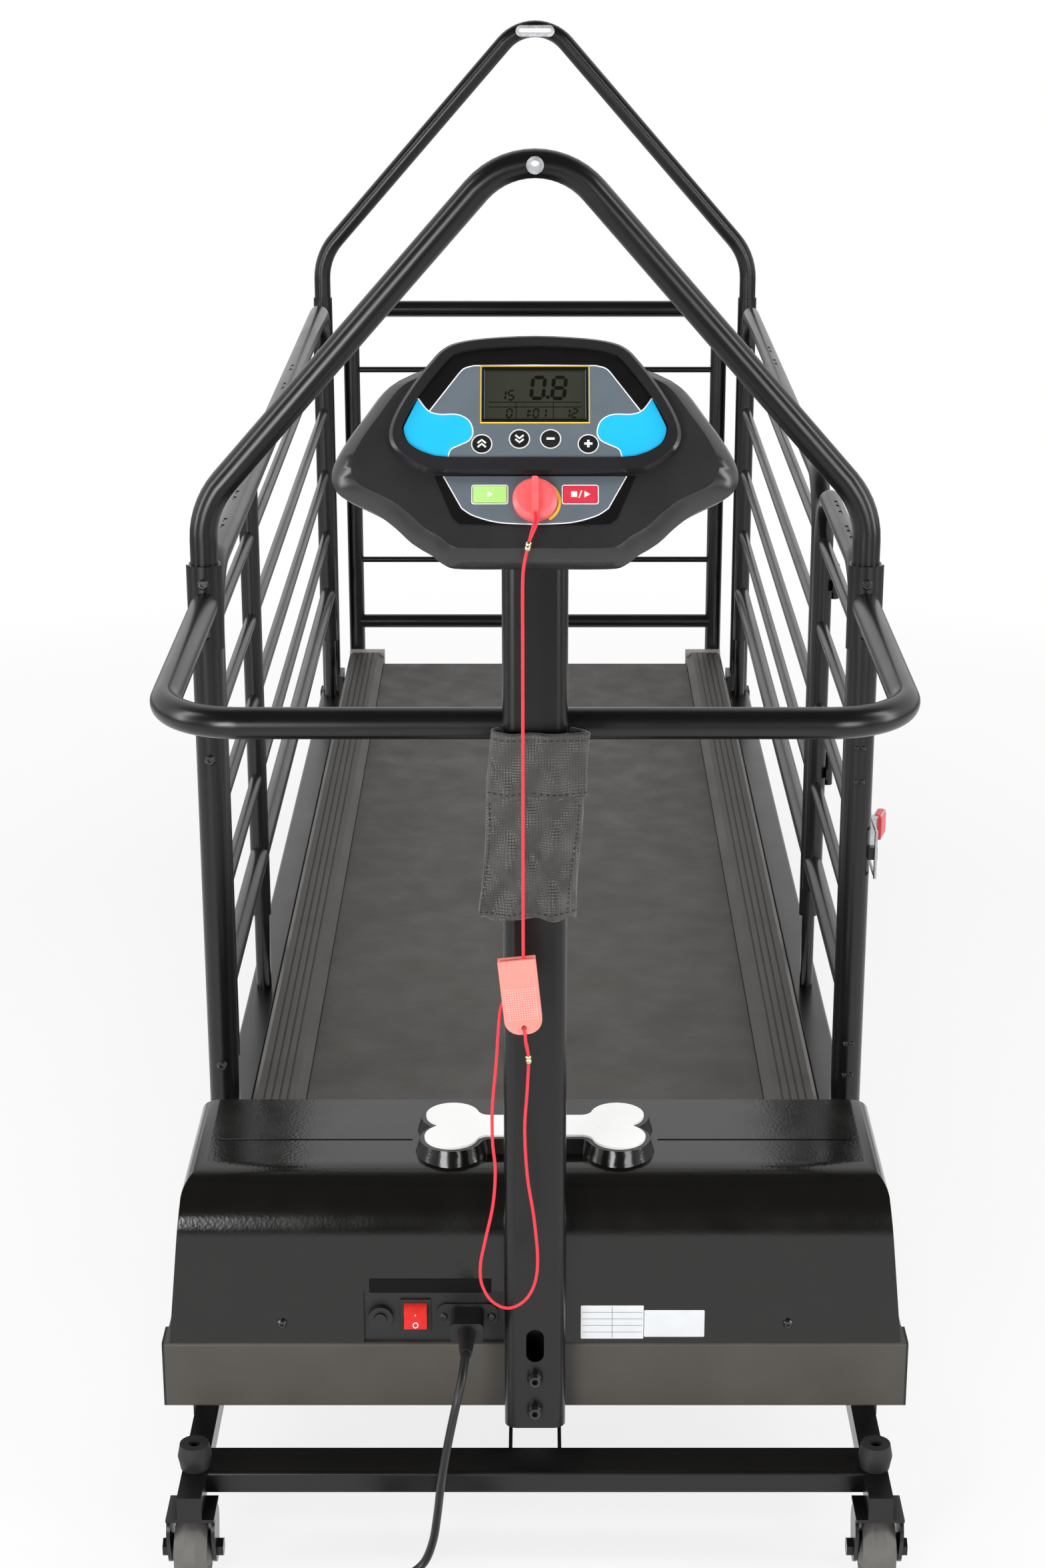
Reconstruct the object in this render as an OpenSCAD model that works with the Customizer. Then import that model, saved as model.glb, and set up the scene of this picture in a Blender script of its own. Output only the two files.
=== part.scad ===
// Dog treadmill: a fenced running belt on a wheeled frame, with a motor hood,
// a console on a mast, a side door and two tall leash arches.
// +X is to the right of someone who stands at the console, +Y runs along the belt
// towards its rear end and +Z is up. The origin lies on the floor, under the middle.
// Heights are above the floor.

/* [Base frame] */
// Length of the base frame, front face to rear face
frame_l = 1872; // [1700:1:2000]
// Width of the base frame over its side members
frame_w = 617; // [590:1:640]
// How far the middle of the frame lies behind the origin
frame_shift = 49; // [30:1:60]
// Height of the frame's underside
frame_z = 118; // [110:1:130]
// Height of the frame tubes
tube_h = 60; // [55:1:70]
// Width of the frame tubes
tube_w = 30; // [26:1:32]
// Wall of the frame tubes
tube_wall = 2; // [1.5:0.1:3]
// Width of the cross tubes under the deck
cross_w = 40; // [30:1:50]
// Height of the cross tubes under the deck
cross_h = 30; // [25:1:40]

/* [Deck and belt] */
// Distance from the frame's side to the belt's edge
belt_in = 93.5; // [88:0.5:108]
// Thickness of the running belt
belt_t = 2; // [1.5:0.1:3]
// Height of the running surface
belt_z = 233; // [228:1:240]
// Thickness of the deck board
deck_t = 18; // [15:1:20]
// How far the deck board's edge lies inside the foot rail's outer edge
deck_set = 15; // [10:1:18]
// Radius of both belt rollers
roller_r = 24; // [20:1:25]
// Radius of the fixed roller shafts
shaft_r = 7.5; // [6:0.5:9]
// Distance from the frame's front face to the front roller's axis
front_roller_back = 187; // [180:1:200]
// Distance from the frame's rear face to the rear roller's axis
rear_roller_in = 80; // [70:1:100]
// Distance from the frame's side to the foot rail's outer edge
rail_in = 43.5; // [36:0.5:50]
// Height of the foot rails above the deck board
rail_h = 12; // [8:1:13]

/* [Drive] */
// Radius of the pulley on the front roller
big_pulley_r = 38; // [34:1:39]
// Radius of the pulley on the motor
small_pulley_r = 15; // [12:1:18]
// Width of the drive belt
drive_belt_w = 12; // [8:1:14]
// Radius of the drive motor
motor_r = 42; // [36:1:44]
// Length of the drive motor
motor_l = 155; // [130:1:165]

/* [Motor hood] */
// Distance from the frame's side to the hood's foot
hood_in = 4.5; // [3:0.5:8]
// Distance from the frame's side to the hood's top edge
hood_top_in = 18.5; // [12:0.5:28]
// Height of the hood above the frame
hood_h = 142; // [135:1:155]
// Length of the hood to its rear crest
hood_l = 169; // [160:1:180]
// Radius of the rounded front edge of the hood
hood_round = 50; // [30:1:60]
// Wall of the hood
hood_wall = 3; // [2:0.5:4]
// Length of the bone badge on the hood
bone_l = 185; // [160:1:200]
// Width of the bone badge
bone_w = 86; // [80:1:94]

/* [Mast and console] */
// Width of the mast tube
mast_w = 50; // [44:1:56]
// Depth of the mast tube
mast_d = 30; // [26:1:36]
// Corner radius of the mast tube
mast_round = 10; // [6:1:12]
// Wall of the mast tube
mast_wall = 2; // [1.5:0.1:3]
// Height of the mast's lower end
mast_z = 116; // [112:1:118]
// Width of the console over its two wings
console_w = 300; // [280:1:320]
// Height of the console face, along the face
console_h = 182; // [174:1:192]
// Depth of the console shell behind its face
console_d = 36; // [32:1:44]
// Lean of the console face back from upright, in degrees
console_lean = 37; // [32:1:42]
// Height of the middle of the console face
console_z = 937; // [920:1:960]
// Width of the display window
lcd_w = 74; // [70:1:78]
// Height of the display window
lcd_h = 40; // [36:1:44]
// Radius of the round keys
key_r = 6.6; // [5:0.1:7]
// Travel of every key
key_travel = 1; // [0.5:0.1:1.2]
// Radius of the red safety key
safety_r = 16.4; // [14:0.1:18]

/* [Fence] */
// Radius of the front posts
post_r = 14; // [13.9:0.1:16]
// Distance from the frame's front face to the front posts
post_back = 367; // [360:1:380]
// Height of the top of the front posts
post_top = 751; // [740:1:770]
// Height of the side panels' top rails
top_rail_z = 735; // [725:1:745]
// Radius of the side panels' rails and stiles
stile_r = 12.5; // [11:0.5:13.5]
// Wall of the fence tubes
fence_wall = 1.6; // [1.2:0.1:2]
// Bend radius of the panel corners
panel_bend = 60; // [40:1:70]
// Radius of the thin panel bars
bar_r = 6; // [5:0.5:7]
// Radius of the lowest panel bar
low_bar_r = 10; // [8:0.5:10]
// Height of the lowest panel bar
low_bar_z = 331; // [320:1:340]
// Distance between neighbouring panel bars
bar_pitch = 87; // [78:1:90]
// Number of thin bars below the top rail
bar_count = 4; // [3:1:4]
// Distance from the front posts to the middle post
mid_post_back = 390; // [340:1:450]
// Radius of the middle post and of the door tubes
door_r = 10; // [9:0.5:10.5]

/* [Arches and guards] */
// Radius of the front arch tube
arch_r = 12.5; // [11:0.5:12.5]
// Radius of the rear arch tube
rear_arch_r = 11; // [10:0.5:11.5]
// Height of the arches' lower corners
arch_corner_z = 802; // [785:1:825]
// Slope of the arches' shoulders, in degrees
arch_slope = 48.5; // [43:0.5:52]
// Bend radius of the front arch's peak
arch_peak_bend = 67; // [50:1:85]
// Bend radius of the rear arch's peak
rear_peak_bend = 56; // [45:1:70]
// Bend radius of the arches' lower corners
arch_bend = 80; // [50:1:90]
// Radius of the front guard bar
guard_r = 12.5; // [11:0.5:13]
// Height of the front guard bar
guard_z = 715; // [705:1:722]
// Bend radius of the front guard bar
guard_bend = 65; // [50:1:80]
// Distance from the frame's side to the rear guard's stiles
rear_guard_side = 52.5; // [46:0.5:68]
// Height of the rear guard's top bar
rear_guard_z = 728; // [700:1:740]
// Radius of the bore in the leash fitting of the front arch
leash_bore_r = 4; // [3:0.5:5]

/* [Incline lift] */
// Radius of the caster wheels
wheel_r = 31; // [28:1:32]
// Width of the caster wheels
wheel_w = 33; // [28:1:36]
// Distance from the frame's front face forward to the caster axles
caster_front = 73; // [68:1:85]
// Width of the lift arms
arm_w = 20; // [16:1:22]
// Height of the lift arms
arm_h = 20; // [16:1:22]
// Distance from the frame's front face to the lift pivot
pivot_back = 97; // [92:1:105]
// Radius of the lift pivot shaft
pivot_r = 8; // [6:0.5:8.5]

/* [Mains lead] */
// Radius of the mains lead
cord_r = 3.5; // [3:0.1:3.5]
// Radius of the tether cord
tether_r = 1.25; // [1:0.05:1.3]

/* [Hidden] */
$fn = 64;
over = 1;
gap = 0.3;
run_fit = 0.05;
seat_fit = 0.1;

// Frame levels and places
front_y = frame_shift - frame_l / 2;
rear_y = front_y + frame_l;
frame_top = frame_z + tube_h;
inner_x = frame_w / 2 - tube_w;
post_x = frame_w / 2 - tube_w / 2;
tube_corner = 3;
cross_count = 4;
leg_w = 30;
leg_in = 90;
foot_r = 18;
foot_h = 12;
cap_t = 2;
cushion_r = 8;
roller_plate_t = 6;
roller_plate_l = 44;
hanger_t = 6;
hanger_l = 34;
tray_t = 3;
tray_l = 157;
tray_slot = 90;
lift_ear_t = 4;
lift_ear_h = 30;
ear_in = 15;

// Deck, rollers and rails
deck_top = belt_z - belt_t;
roller_z = deck_top - gap - roller_r;
front_roller_y = front_y + front_roller_back;
rear_roller_y = rear_y - rear_roller_in;
deck_clear = 6;
deck_front = front_roller_y + big_pulley_r + deck_clear;
deck_back = rear_roller_y - roller_r - deck_clear;
roller_over = 20;
belt_w = frame_w - 2 * belt_in;
roller_l = belt_w + roller_over;
rail_gap = 1;
rail_x = belt_w / 2 + rail_gap;
rail_w = frame_w / 2 - rail_in - rail_x;
deck_w = frame_w - 2 * (rail_in + deck_set);
rail_wall = 3;
rail_skirt = 14;
rail_bevel_share = 0.35;
groove_w = 2;
groove_d = 1.6;
groove_count = 4;
rail_cap_l = 22;
rail_back = rear_roller_y + roller_r + gap + belt_t;
rail_cap_round = 6;

// Drive
motor_back = 87;
motor_up = 37;
motor_y = front_y + motor_back;
motor_z = frame_top + motor_up;
motor_foot_l = 110;
motor_foot_w = 60;
fin_count = 9;
fin_t = 3;
fin_h = 4;
pulley_out = 20;
pulley_lip = 4;
pulley_x = -(belt_w / 2 + pulley_out);
pulley_w = drive_belt_w + pulley_lip;
motor_clear = 12;
motor_x = pulley_x + pulley_w / 2 + motor_clear + motor_l;
motor_shaft_r = 6;
motor_socket = 12;
drive_belt_t = 3;
controller_off = 25;
controller_in = 28.5;
controller_wall = 2.5;
controller_x = tray_slot / 2 + controller_off;
controller_size = [inner_x - controller_in - controller_x, 108, 74];
controller_fin_count = 8;
controller_fin_h = 6;
controller_fin_t = 3;

// Hood
hood_set = 2;
hood_w = frame_w - 2 * hood_in;
hood_top_w = frame_w - 2 * hood_top_in;
hood_screw_share = 0.345;
hood_screw_r = 4;
hood_y = front_y + hood_set;
hood_z = frame_top;
hood_top = hood_z + hood_h;
crest_y = hood_y + hood_l;
hood_back = deck_front + deck_clear;
hood_clear = 2;
hood_gap_z = deck_top + rail_h + hood_clear;
hood_corner = 18;
crease_w = 3;
crease_d = 1.2;
crease_in = 22;
bone_lobe_r = 22.5;
bone_shank = 38;
bone_fillet = 10;
bone_notch = 4;
bone_h = 12;
bone_skirt = 8;
bone_edge = 4;
plate_t = 2;
bone_in = 79;
bone_y = crest_y - bone_in;
window_x0 = -142;
window_x1 = -26;
window_h = 48;
panel_lap = 6;
panel_t = 3;
inlet_x = -56;
inlet_up = 24;
inlet_z = hood_z + inlet_up;
rocker_x = -99;
breaker_x = -128;
flange_w = 50;
flange_h = 23;
flange_t = 2.5;
inlet_w = 27;
inlet_h = 18;
inlet_deep = 18;
screw_pitch = 40;
bezel_w = 25;
bezel_h = 31;
bezel_t = 2;
rocker_w = 19;
rocker_r = 12;
rocker_tilt = 8;
rocker_cut = 4;
breaker_r = 5;
breaker_collar_r = 10;
breaker_collar_t = 6;
breaker_out = 4;

// Mast and console
mast_y = front_y - mast_d;
mast_hole_w = 14.6;
mast_hole_h = 30;
mast_hole_up = 15;
mast_hole_z = frame_top + mast_hole_up;
mast_bolt_shares = [0.27, 0.77];
face_set = 1;
face_y = mast_y - face_set;
shell_round_shares = [[-1, 0.86], [-0.75, 0.965], [-0.42, 1], [-0.16, 0.965], [0, 0.9]];
shell_half_shares = [[0, 0.415], [0.25, 0.405], [0.33, 0.365], [0.375, 0.31], [0.42, 0.2],
    [0.46, 0.1], [0.49, 0.005], [0.5, -0.06], [0.495, -0.11], [0.475, -0.155], [0.43, -0.195],
    [0.385, -0.235], [0.34, -0.295], [0.3, -0.36], [0.255, -0.407], [0.225, -0.447], [0.18, -0.461],
    [0, -0.461]];
bezel_half_shares = [[0, 0.511], [0.125, 0.5], [0.195, 0.48], [0.23, 0.45], [0.257, 0.4],
    [0.3, 0.3], [0.342, 0.176], [0.36, 0.082], [0.353, 0.016], [0.323, -0.038], [0.283, -0.077],
    [0.24, -0.095], [0, -0.101]];
panel_half_shares = [[0, 0.456], [0.125, 0.445], [0.187, 0.425], [0.218, 0.387], [0.288, 0.224],
    [0.318, 0.124], [0.325, 0.085], [0.313, 0.027], [0.287, -0.005], [0.257, -0.027],
    [0.208, -0.04], [0, -0.04]];
key_panel_half_shares = [[0, -0.104], [0.245, -0.104], [0.2, -0.285], [0.183, -0.31], [0, -0.318]];
bezel_h_out = 9;
bezel_pocket = 4;
bezel_skirt = 18;
bezel_edge_shares = [[0, 0.97], [0.3, 1], [0.9, 0.99], [1, 0.965]];
panel_fit_share = 0.995;
face_t = 1;
lcd_t = 2;
lcd_lip = 3;
lcd_share = 0.244;
round_key_shares = [[-0.13, 0.024], [-0.038, 0.046], [0.038, 0.046], [0.13, 0.024]];
key_proud = 0.8;
key_stem = 3;
bar_key_w = 24.5;
bar_key_h = 13;
bar_key_shares = [0.11, -0.185];
safety_share = -0.214;
safety_t = 8;
safety_step = 4.8;
safety_bevel = safety_t - safety_step;
safety_grip_h = 7;
safety_grip_w = 5;
safety_grip_share = 0.82;
safety_eye_r = 2.2;

// Fabric cover on the mast
cover_up = 8;
cover_top = guard_z + cover_up;
cover_h = 151;
cover_w = 74;
cover_t = 7;
cover_lean = 6;
cover_fold = 1.6;
cover_flap_share = 0.36;
cover_flap_t = 2.5;
cover_cols = 12;
cover_rows = 16;
strap_h = 22;
strap_down = 2;
strap_top = guard_z - guard_r - strap_down;
strap_t = 2.5;

// Fence
post_y = front_y + post_back;
rear_post_in = 25;
rear_post_y = rear_y - rear_post_in;
post_bore = arch_r + seat_fit;
rear_post_bore = rear_arch_r + seat_fit;
rear_post_r = rear_post_bore + fence_wall;
rear_post_up = 10;
rear_post_top = top_rail_z + rear_post_up;
stile_gap = 1;
panel_front_y = post_y + post_r + stile_gap + stile_r;
panel_back_y = rear_post_y - rear_post_r - stile_gap - stile_r;
mid_y = post_y + mid_post_back;
stile_up = 84;
stile_foot = frame_top + stile_up;
spigot_r = 8;
weld = 0.3;
slot_l = 16;
slot_w = 3;
slot_shares = [0.08, 0.16, 0.55, 0.63];
slot_step = 9;

// Door, hinges and latch
hinge_r = 5;
hinge_pin_r = 3;
hinge_knuckle = 12;
hinge_leaf_t = 3;
hinge_leaf_l = 24;
hinge_off = 4;
hinge_shares = [0.25, 0.75];
door_gap = 7;
door_back_y = mid_y - door_r - door_gap - door_r;
door_front_y = panel_front_y;
door_drop = 30;
door_foot = low_bar_z - door_drop;
hinge_x = post_x + door_r + hinge_off;
hinge_y = mid_y - door_r - door_gap / 2;
door_outer = post_x + door_r;
latch_up = 147;
latch_z = low_bar_z + latch_up;
latch_plate_t = 2.5;
latch_plate_l = 40;
latch_plate_h = 40;
latch_ear_t = 2;
latch_ear_in = 5;
latch_pin_r = 2;
latch_out = 6;
latch_in = 12;
latch_axis_x = door_outer + latch_plate_t + latch_out;
latch_axis_y = door_front_y + latch_in;
latch_crank = 7;
latch_lever_l = 46;
latch_lever_t = 3;
latch_lever_out = 18;
latch_grip_l = 20;
latch_grip_t = 8;
loop_r = 1.5;
loop_h = latch_plate_h + 2 * (loop_r + gap);
loop_gap = 0.6;
keeper_w = 12;
keeper_l = 7;
loop_end_y = post_y - keeper_l - loop_gap - loop_r;

// Arches, guards and fittings
arch_in = 90;
arch_steps = 7;
arch_sides = 22;
fitting_w = 15;
fitting_out = 2;
eyelet_l = 52;
eyelet_h = 15;
eyelet_wall = 4;
eyelet_drop = 2;
guard_y = front_y + guard_r + gap;
guard_short = 2;
guard_end_y = post_y - post_r - guard_short;
saddle_t = 3;
saddle_h = 77;
saddle_share = 0.47;
rear_guard_in = 15;
rear_guard_x = frame_w / 2 - rear_guard_side;
rear_guard_y = rear_y - rear_guard_in;
rear_guard_r = 11;
rear_bar_r = 4;
rear_low_r = 9.5;
rear_low_z = 279;
rear_bar_pitch = 91;
rear_bar_count = 4;
rear_guard_bend = 45;
bolt_r = 5;
bolt_h = 3;
screw_r = 2.4;
screw_h = 1.4;
screw_side = 3;
left_bolt_ups = [-62, 240];
right_screw_ups = [-72, -40, 219, 251];

// Incline lift
caster_y = front_y - caster_front;
fork_gap = 2.9;
fork_t = 3;
fork_l = 36;
fork_end_r = 12;
fork_top = wheel_r * 2 + fork_gap + fork_t;
fork_half = wheel_w / 2 + gap + fork_t;
axle_r = 5;
axle_head_r = 8;
axle_head_l = 5;
tyre_share = 0.18;
hub_r = 11;
arm_z = fork_top + seat_fit;
arm_out = 2.5;
arm_x = inner_x + arm_out;
pivot_y = front_y + pivot_back;
pivot_z = arm_z + arm_h / 2;
arm_tail = 12;
arm_nose = 18;
bar_d = 40;
lift_bar_in = 20;
lift_bar_y = caster_y + lift_bar_in;
bumper_r = 14;
bumper_top_r = 12;
bumper_h = 22;
bumper_hole = 5;
bumper_in = 30;
bumper_y = caster_y + bumper_in;
crank_t = 3;
crank_x = 20.5;
crank_w = 24;
crank_pin_r = 4;
crank_up = 72;
crank_off = 10;
crank_y = pivot_y - crank_off;
crank_z = pivot_z + crank_up;
crank_slack = 1.8;
crank_low = 14;
eye_w = 30;
eye_r = 12;
lift_tail = 145;
lift_y = crank_y + lift_tail;
lift_axis_z = crank_z;
lift_box = [56, 65, 44];
lift_box_tail = 20;
lift_can_r = 20;
lift_can_l = 50;
lift_sleeve_r = 14;
lift_sleeve_l = 45;
lift_tube_r = 11;
lift_pin_r = 4;

// Mains lead: free run, coil and plug
lead_points = [[-56, -945, 202], [-57, -955, 200], [-59, -971, 192], [-64, -980, 172],
    [-70, -978, 140], [-76, -970, 100], [-80, -961, 62], [-84, -956, 34], [-91, -956, 14],
    [-102, -960, 5], [-114, -967, 3.7], [-124, -978, 3.7], [-130, -993, 3.7],
    [-132, -1012, 3.7], [-132, -1023, 3.7]];
lead_steps = 4;
lead_sides = 8;
coil_turns = 2.5;
coil_pitch = 7.6;
coil_inner = 31;
coil_c = [-82, -1030];
coil_tail = 25;
coil_lead_in = 7;
coil_ease = 30;
floor_gap = 0.2;
coil_rings = 24;
coil_sides = 6;
coil_lift = 7.6;
connector_l = 28;
connector_round = 4;
plug_l = 38;
plug_r = 9;
plug_boot_l = 18;
plug_boot_r = 5;
blade_l = 17;
blade_w = 6;
blade_t = 1.6;
blade_pitch = 12.7;

// Tether cord, from the safety key to the clip
tether_points = [[0, -960, 902], [0, -963, 898], [-2, -967, 891], [-5, -970.5, 880],
    [-8, -971.5, 866], [-9, -971.5, 850], [-9, -971.5, 800], [-9, -971.5, 740], [-9, -971.5, 680],
    [-9, -971.5, 620], [-9, -971.5, 575], [-9, -971.5, 558], [-10.5, -971.5, 547],
    [-15, -971.5, 537], [-21, -971.5, 529], [-26, -971.5, 518], [-28, -971.5, 500],
    [-30, -971.5, 470], [-33, -971.5, 435], [-33, -971.5, 405], [-31, -971.5, 380],
    [-33, -971.5, 350], [-39, -971.5, 320], [-43, -971.5, 298], [-42, -971.5, 280],
    [-34, -971.5, 265], [-21, -971.5, 259], [-8, -971.5, 266], [0, -971.5, 282],
    [2, -971.5, 305], [-1, -971.5, 340], [-6, -971.5, 375], [-8, -971.5, 415],
    [-6, -971.5, 450], [-5, -971.5, 475], [-7, -971.5, 488], [-7.5, -971.5, 496.5]];
tether_steps = 2;
tether_sides = 8;
clip_w = 29;
clip_l = 61;
clip_t = 2.5;
clip_space = 3.6;
clip_round = 12;
clip_tilt = 6;
clip_c = [-11, -971.5, 528];
clip_hinge_share = 0.26;
clip_barrel_r = 1.5;
clip_lug_x = 7.25;
clip_lug_w = 5.8;
clip_hole_r = 2.2;

// Helpers for outlines and paths
function unit(v) = v / norm(v);
function turn(a, b, c) = let (d = unit(b - a), e = unit(c - b)) atan2(d[0] * e[1] - d[1] * e[0], d * e);
function setback(a, b, c, bend) = bend * tan(abs(turn(a, b, c)) / 2);
function mirrored(half) = concat(half, [for (i = [len(half) - 2:-1:1]) [-half[i][0], half[i][1]]]);
function spline(p, q, r, s, t) = 0.5 * (2 * q + (r - p) * t
    + (2 * p - 5 * q + 4 * r - s) * t * t + (3 * q - p - 3 * r + s) * t * t * t);
function smooth_path(pts, steps) = let (n = len(pts) - 1) concat(
    [for (i = [0:n - 1], k = [0:steps - 1])
        spline(pts[max(i - 1, 0)], pts[i], pts[i + 1], pts[min(i + 2, n)], k / steps)], [pts[n]]);
function smooth_ring(pts, steps) = let (n = len(pts)) [for (i = [0:n - 1], k = [0:steps - 1])
        spline(pts[(i + n - 1) % n], pts[i], pts[(i + 1) % n], pts[(i + 2) % n], k / steps)];
function sized(shares) = [for (p = shares) [p[0] * console_w, p[1] * console_h]];
function heading(path, i) = unit(path[min(i + 1, len(path) - 1)] - path[max(i - 1, 0)]);
function squared(v, t) = unit(v - (v * t) * t);
function side_ways(path) = [
    for (i = 0, s = squared([0, 0, 1] + [0.1, 0.2, 0], heading(path, 0)); i < len(path);
        i = i + 1, s = i < len(path) ? squared(s, heading(path, i)) : s) s];

// A round tube along a path, closed at both ends
module swept(path, r, sides) {
    ways = side_ways(path);
    n = len(path);
    ring_points = [for (i = [0:n - 1], k = [0:sides - 1])
        let (s = ways[i], u = cross(heading(path, i), s), a = 360 * k / sides)
            path[i] + r * (cos(a) * s + sin(a) * u)];
    walls = [for (i = [0:n - 2], k = [0:sides - 1], h = [0, 1])
        let (j = (k + 1) % sides, p = i * sides + k, q = i * sides + j)
            h == 0 ? [p, p + sides, q] : [q, p + sides, q + sides]];
    first_cap = [for (k = [1:sides - 2]) [0, k, k + 1]];
    last = (n - 1) * sides;
    last_cap = [for (k = [1:sides - 2]) [last, last + k + 1, last + k]];
    polyhedron(ring_points, concat(walls, first_cap, last_cap));
}

// One outline, scaled and lifted level by level
module lofted(outline, levels) {
    n = len(outline);
    pts = [for (l = levels, p = outline) [p[0] * l[1], p[1] * l[1], l[0]]];
    walls = [for (i = [0:len(levels) - 2], k = [0:n - 1], h = [0, 1])
        let (j = (k + 1) % n, p = i * n + k, q = i * n + j) h == 0 ? [p, q, p + n] : [q, q + n, p + n]];
    top = (len(levels) - 1) * n;
    polyhedron(pts, concat(walls, [[for (k = [n - 1:-1:0]) k]], [[for (k = [0:n - 1]) top + k]]));
}

// Flat shapes in the Y-Z plane, extruded along X from x0
module along_x(x0, l) {
    translate([x0, 0, 0]) rotate([90, 0, 90]) linear_extrude(l) children();
}

// Flat shapes in the X-Z plane, extruded along Y from y0
module along_y(y0, l) {
    translate([0, y0 + l, 0]) rotate([90, 0, 0]) linear_extrude(l) children();
}

module both_sides() {
    children();
    mirror([1, 0, 0]) children();
}

module rounded(w, h, r) {
    if (w > 2 * r) square([w - 2 * r, h], center = true);
    if (h > 2 * r) square([w, h - 2 * r], center = true);
    for (x = [-1, 1], y = [-1, 1]) translate([x * (w / 2 - r), y * (h / 2 - r)]) circle(r);
}

module box_section(w, h, r, wall) {
    difference() {
        rounded(w, h, r);
        rounded(w - 2 * wall, h - 2 * wall, max(r - wall, wall / 2));
    }
}

module ring(r, wall) {
    difference() {
        circle(r);
        circle(r - wall);
    }
}

// A round tube bent in its own flat plane, through the corners pts
module bent_tube(pts, r, wall, bend) {
    n = len(pts);
    cut = [for (i = [0:n - 1]) i == 0 || i == n - 1 ? 0
        : setback(pts[i - 1], pts[i], pts[i + 1], bend)];
    for (i = [0:n - 2]) {
        way = unit(pts[i + 1] - pts[i]);
        a = pts[i] + way * cut[i];
        b = pts[i + 1] - way * cut[i + 1];
        translate([a[0], a[1], 0]) rotate([0, 0, atan2(way[1], way[0])]) rotate([0, 90, 0])
            linear_extrude(norm(b - a)) ring(r, wall);
    }
    for (i = [1:n - 2]) {
        t = turn(pts[i - 1], pts[i], pts[i + 1]);
        way = unit(pts[i] - pts[i - 1]);
        start = pts[i] - way * cut[i];
        middle = start + bend * sign(t) * [-way[1], way[0]];
        arm = start - middle;
        translate([middle[0], middle[1], 0]) rotate([0, 0, atan2(arm[1], arm[0]) + min(t, 0)])
            rotate_extrude(angle = abs(t)) translate([bend, 0]) ring(r, wall);
    }
}

module upright(x, y, z0, z1, r) {
    translate([x, y, z0]) cylinder(h = z1 - z0, r = r);
}

// A rod along X or along Y
module rod_x(x0, x1, y, z, r) {
    translate([x0, y, z]) rotate([0, 90, 0]) cylinder(h = x1 - x0, r = r);
}

module rod_y(x, y0, y1, z, r) {
    translate([x, y0, z]) rotate([-90, 0, 0]) cylinder(h = y1 - y0, r = r);
}

// Puts a shape on the console face, with +Z out of it
module on_console() {
    translate([0, face_y, console_z]) rotate([90 - console_lean, 0, 0]) children();
}

// Base frame
module frame_side() {
    along_y(front_y + tube_w, frame_l - 2 * tube_w) translate([post_x, frame_z + tube_h / 2])
        box_section(tube_w, tube_h, tube_corner, tube_wall);
    for (y = [front_roller_y, rear_roller_y]) difference() {
        translate([inner_x - seat_fit - roller_plate_t, y - roller_plate_l / 2, frame_z])
            cube([roller_plate_t, roller_plate_l, roller_z + shaft_r * 2 - frame_z]);
        rod_x(inner_x - 2 * roller_plate_t, inner_x + over, y, roller_z, shaft_r + seat_fit);
    }
    difference() {
        translate([arm_x + arm_w / 2 + gap, pivot_y - hanger_l / 2, pivot_z - hanger_l / 2])
            cube([hanger_t, hanger_l, frame_z - seat_fit - pivot_z + hanger_l / 2]);
        rod_x(arm_x, frame_w, pivot_y, pivot_z, pivot_r + seat_fit);
    }
    translate([post_x - leg_w / 2, rear_y - leg_in - leg_w, foot_h])
        cube([leg_w, leg_w, frame_z - seat_fit - foot_h]);
}

module side_members() {
    color("#232325") both_sides() frame_side();
}

module cross_tube(y, z, w, h, l) {
    along_x(-l / 2, l) translate([y + w / 2, z + h / 2]) box_section(w, h, tube_corner, tube_wall);
}

module motor_tray() {
    for (s = [-1, 1]) difference() {
        translate([s > 0 ? tray_slot / 2 : seat_fit - inner_x, front_y + tube_w + seat_fit, frame_z])
            cube([inner_x - seat_fit - tray_slot / 2, tray_l, tray_t]);
        translate([s * inner_x - roller_plate_t - over, front_roller_y - roller_plate_l / 2 - seat_fit,
            frame_z - over])
            cube([2 * (roller_plate_t + over), roller_plate_l + 2 * seat_fit, tray_t + 2 * over]);
    }
}

cross_front = lift_y + lift_box_tail + ear_in;
function cross_y(i) = cross_front + i * (deck_back - cross_w - cross_front) / (cross_count - 1);

module cross_members() {
    color("#232325") {
        cross_tube(front_y, frame_z, tube_w, tube_h, frame_w);
        cross_tube(rear_y - tube_w, frame_z, tube_w, tube_h, frame_w);
        for (i = [0:cross_count - 1])
            cross_tube(cross_y(i), frame_top - cross_h, cross_w, cross_h, 2 * inner_x);
        motor_tray();
        for (s = [-1, 1]) difference() {
            along_x(s * (lift_box[0] / 2 + gap + lift_ear_t / 2) - lift_ear_t / 2, lift_ear_t) union() {
                translate([lift_y, lift_axis_z]) circle(lift_ear_h / 2);
                translate([lift_y, lift_axis_z - lift_ear_h / 2])
                    square([cross_front - seat_fit - lift_y, lift_ear_h]);
            }
            rod_x(-inner_x, inner_x, lift_y, lift_axis_z, lift_pin_r + seat_fit);
        }
    }
}

module rubber_fittings() {
    color("#191919") {
        for (s = [-1, 1], i = [0:cross_count - 1])
            upright(s * (belt_w + deck_w) / 4, cross_y(i) + cross_w / 2, frame_top,
                deck_top - deck_t, cushion_r);
        for (s = [-1, 1]) upright(s * post_x, rear_y - leg_in - leg_w / 2, 0, foot_h, foot_r);
        for (s = [-1, 1], y = [front_y, rear_y - tube_w])
            along_x(s > 0 ? frame_w / 2 : -frame_w / 2 - cap_t, cap_t)
                translate([y + tube_w / 2, frame_z + tube_h / 2]) rounded(tube_w, tube_h, tube_corner);
    }
}

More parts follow.
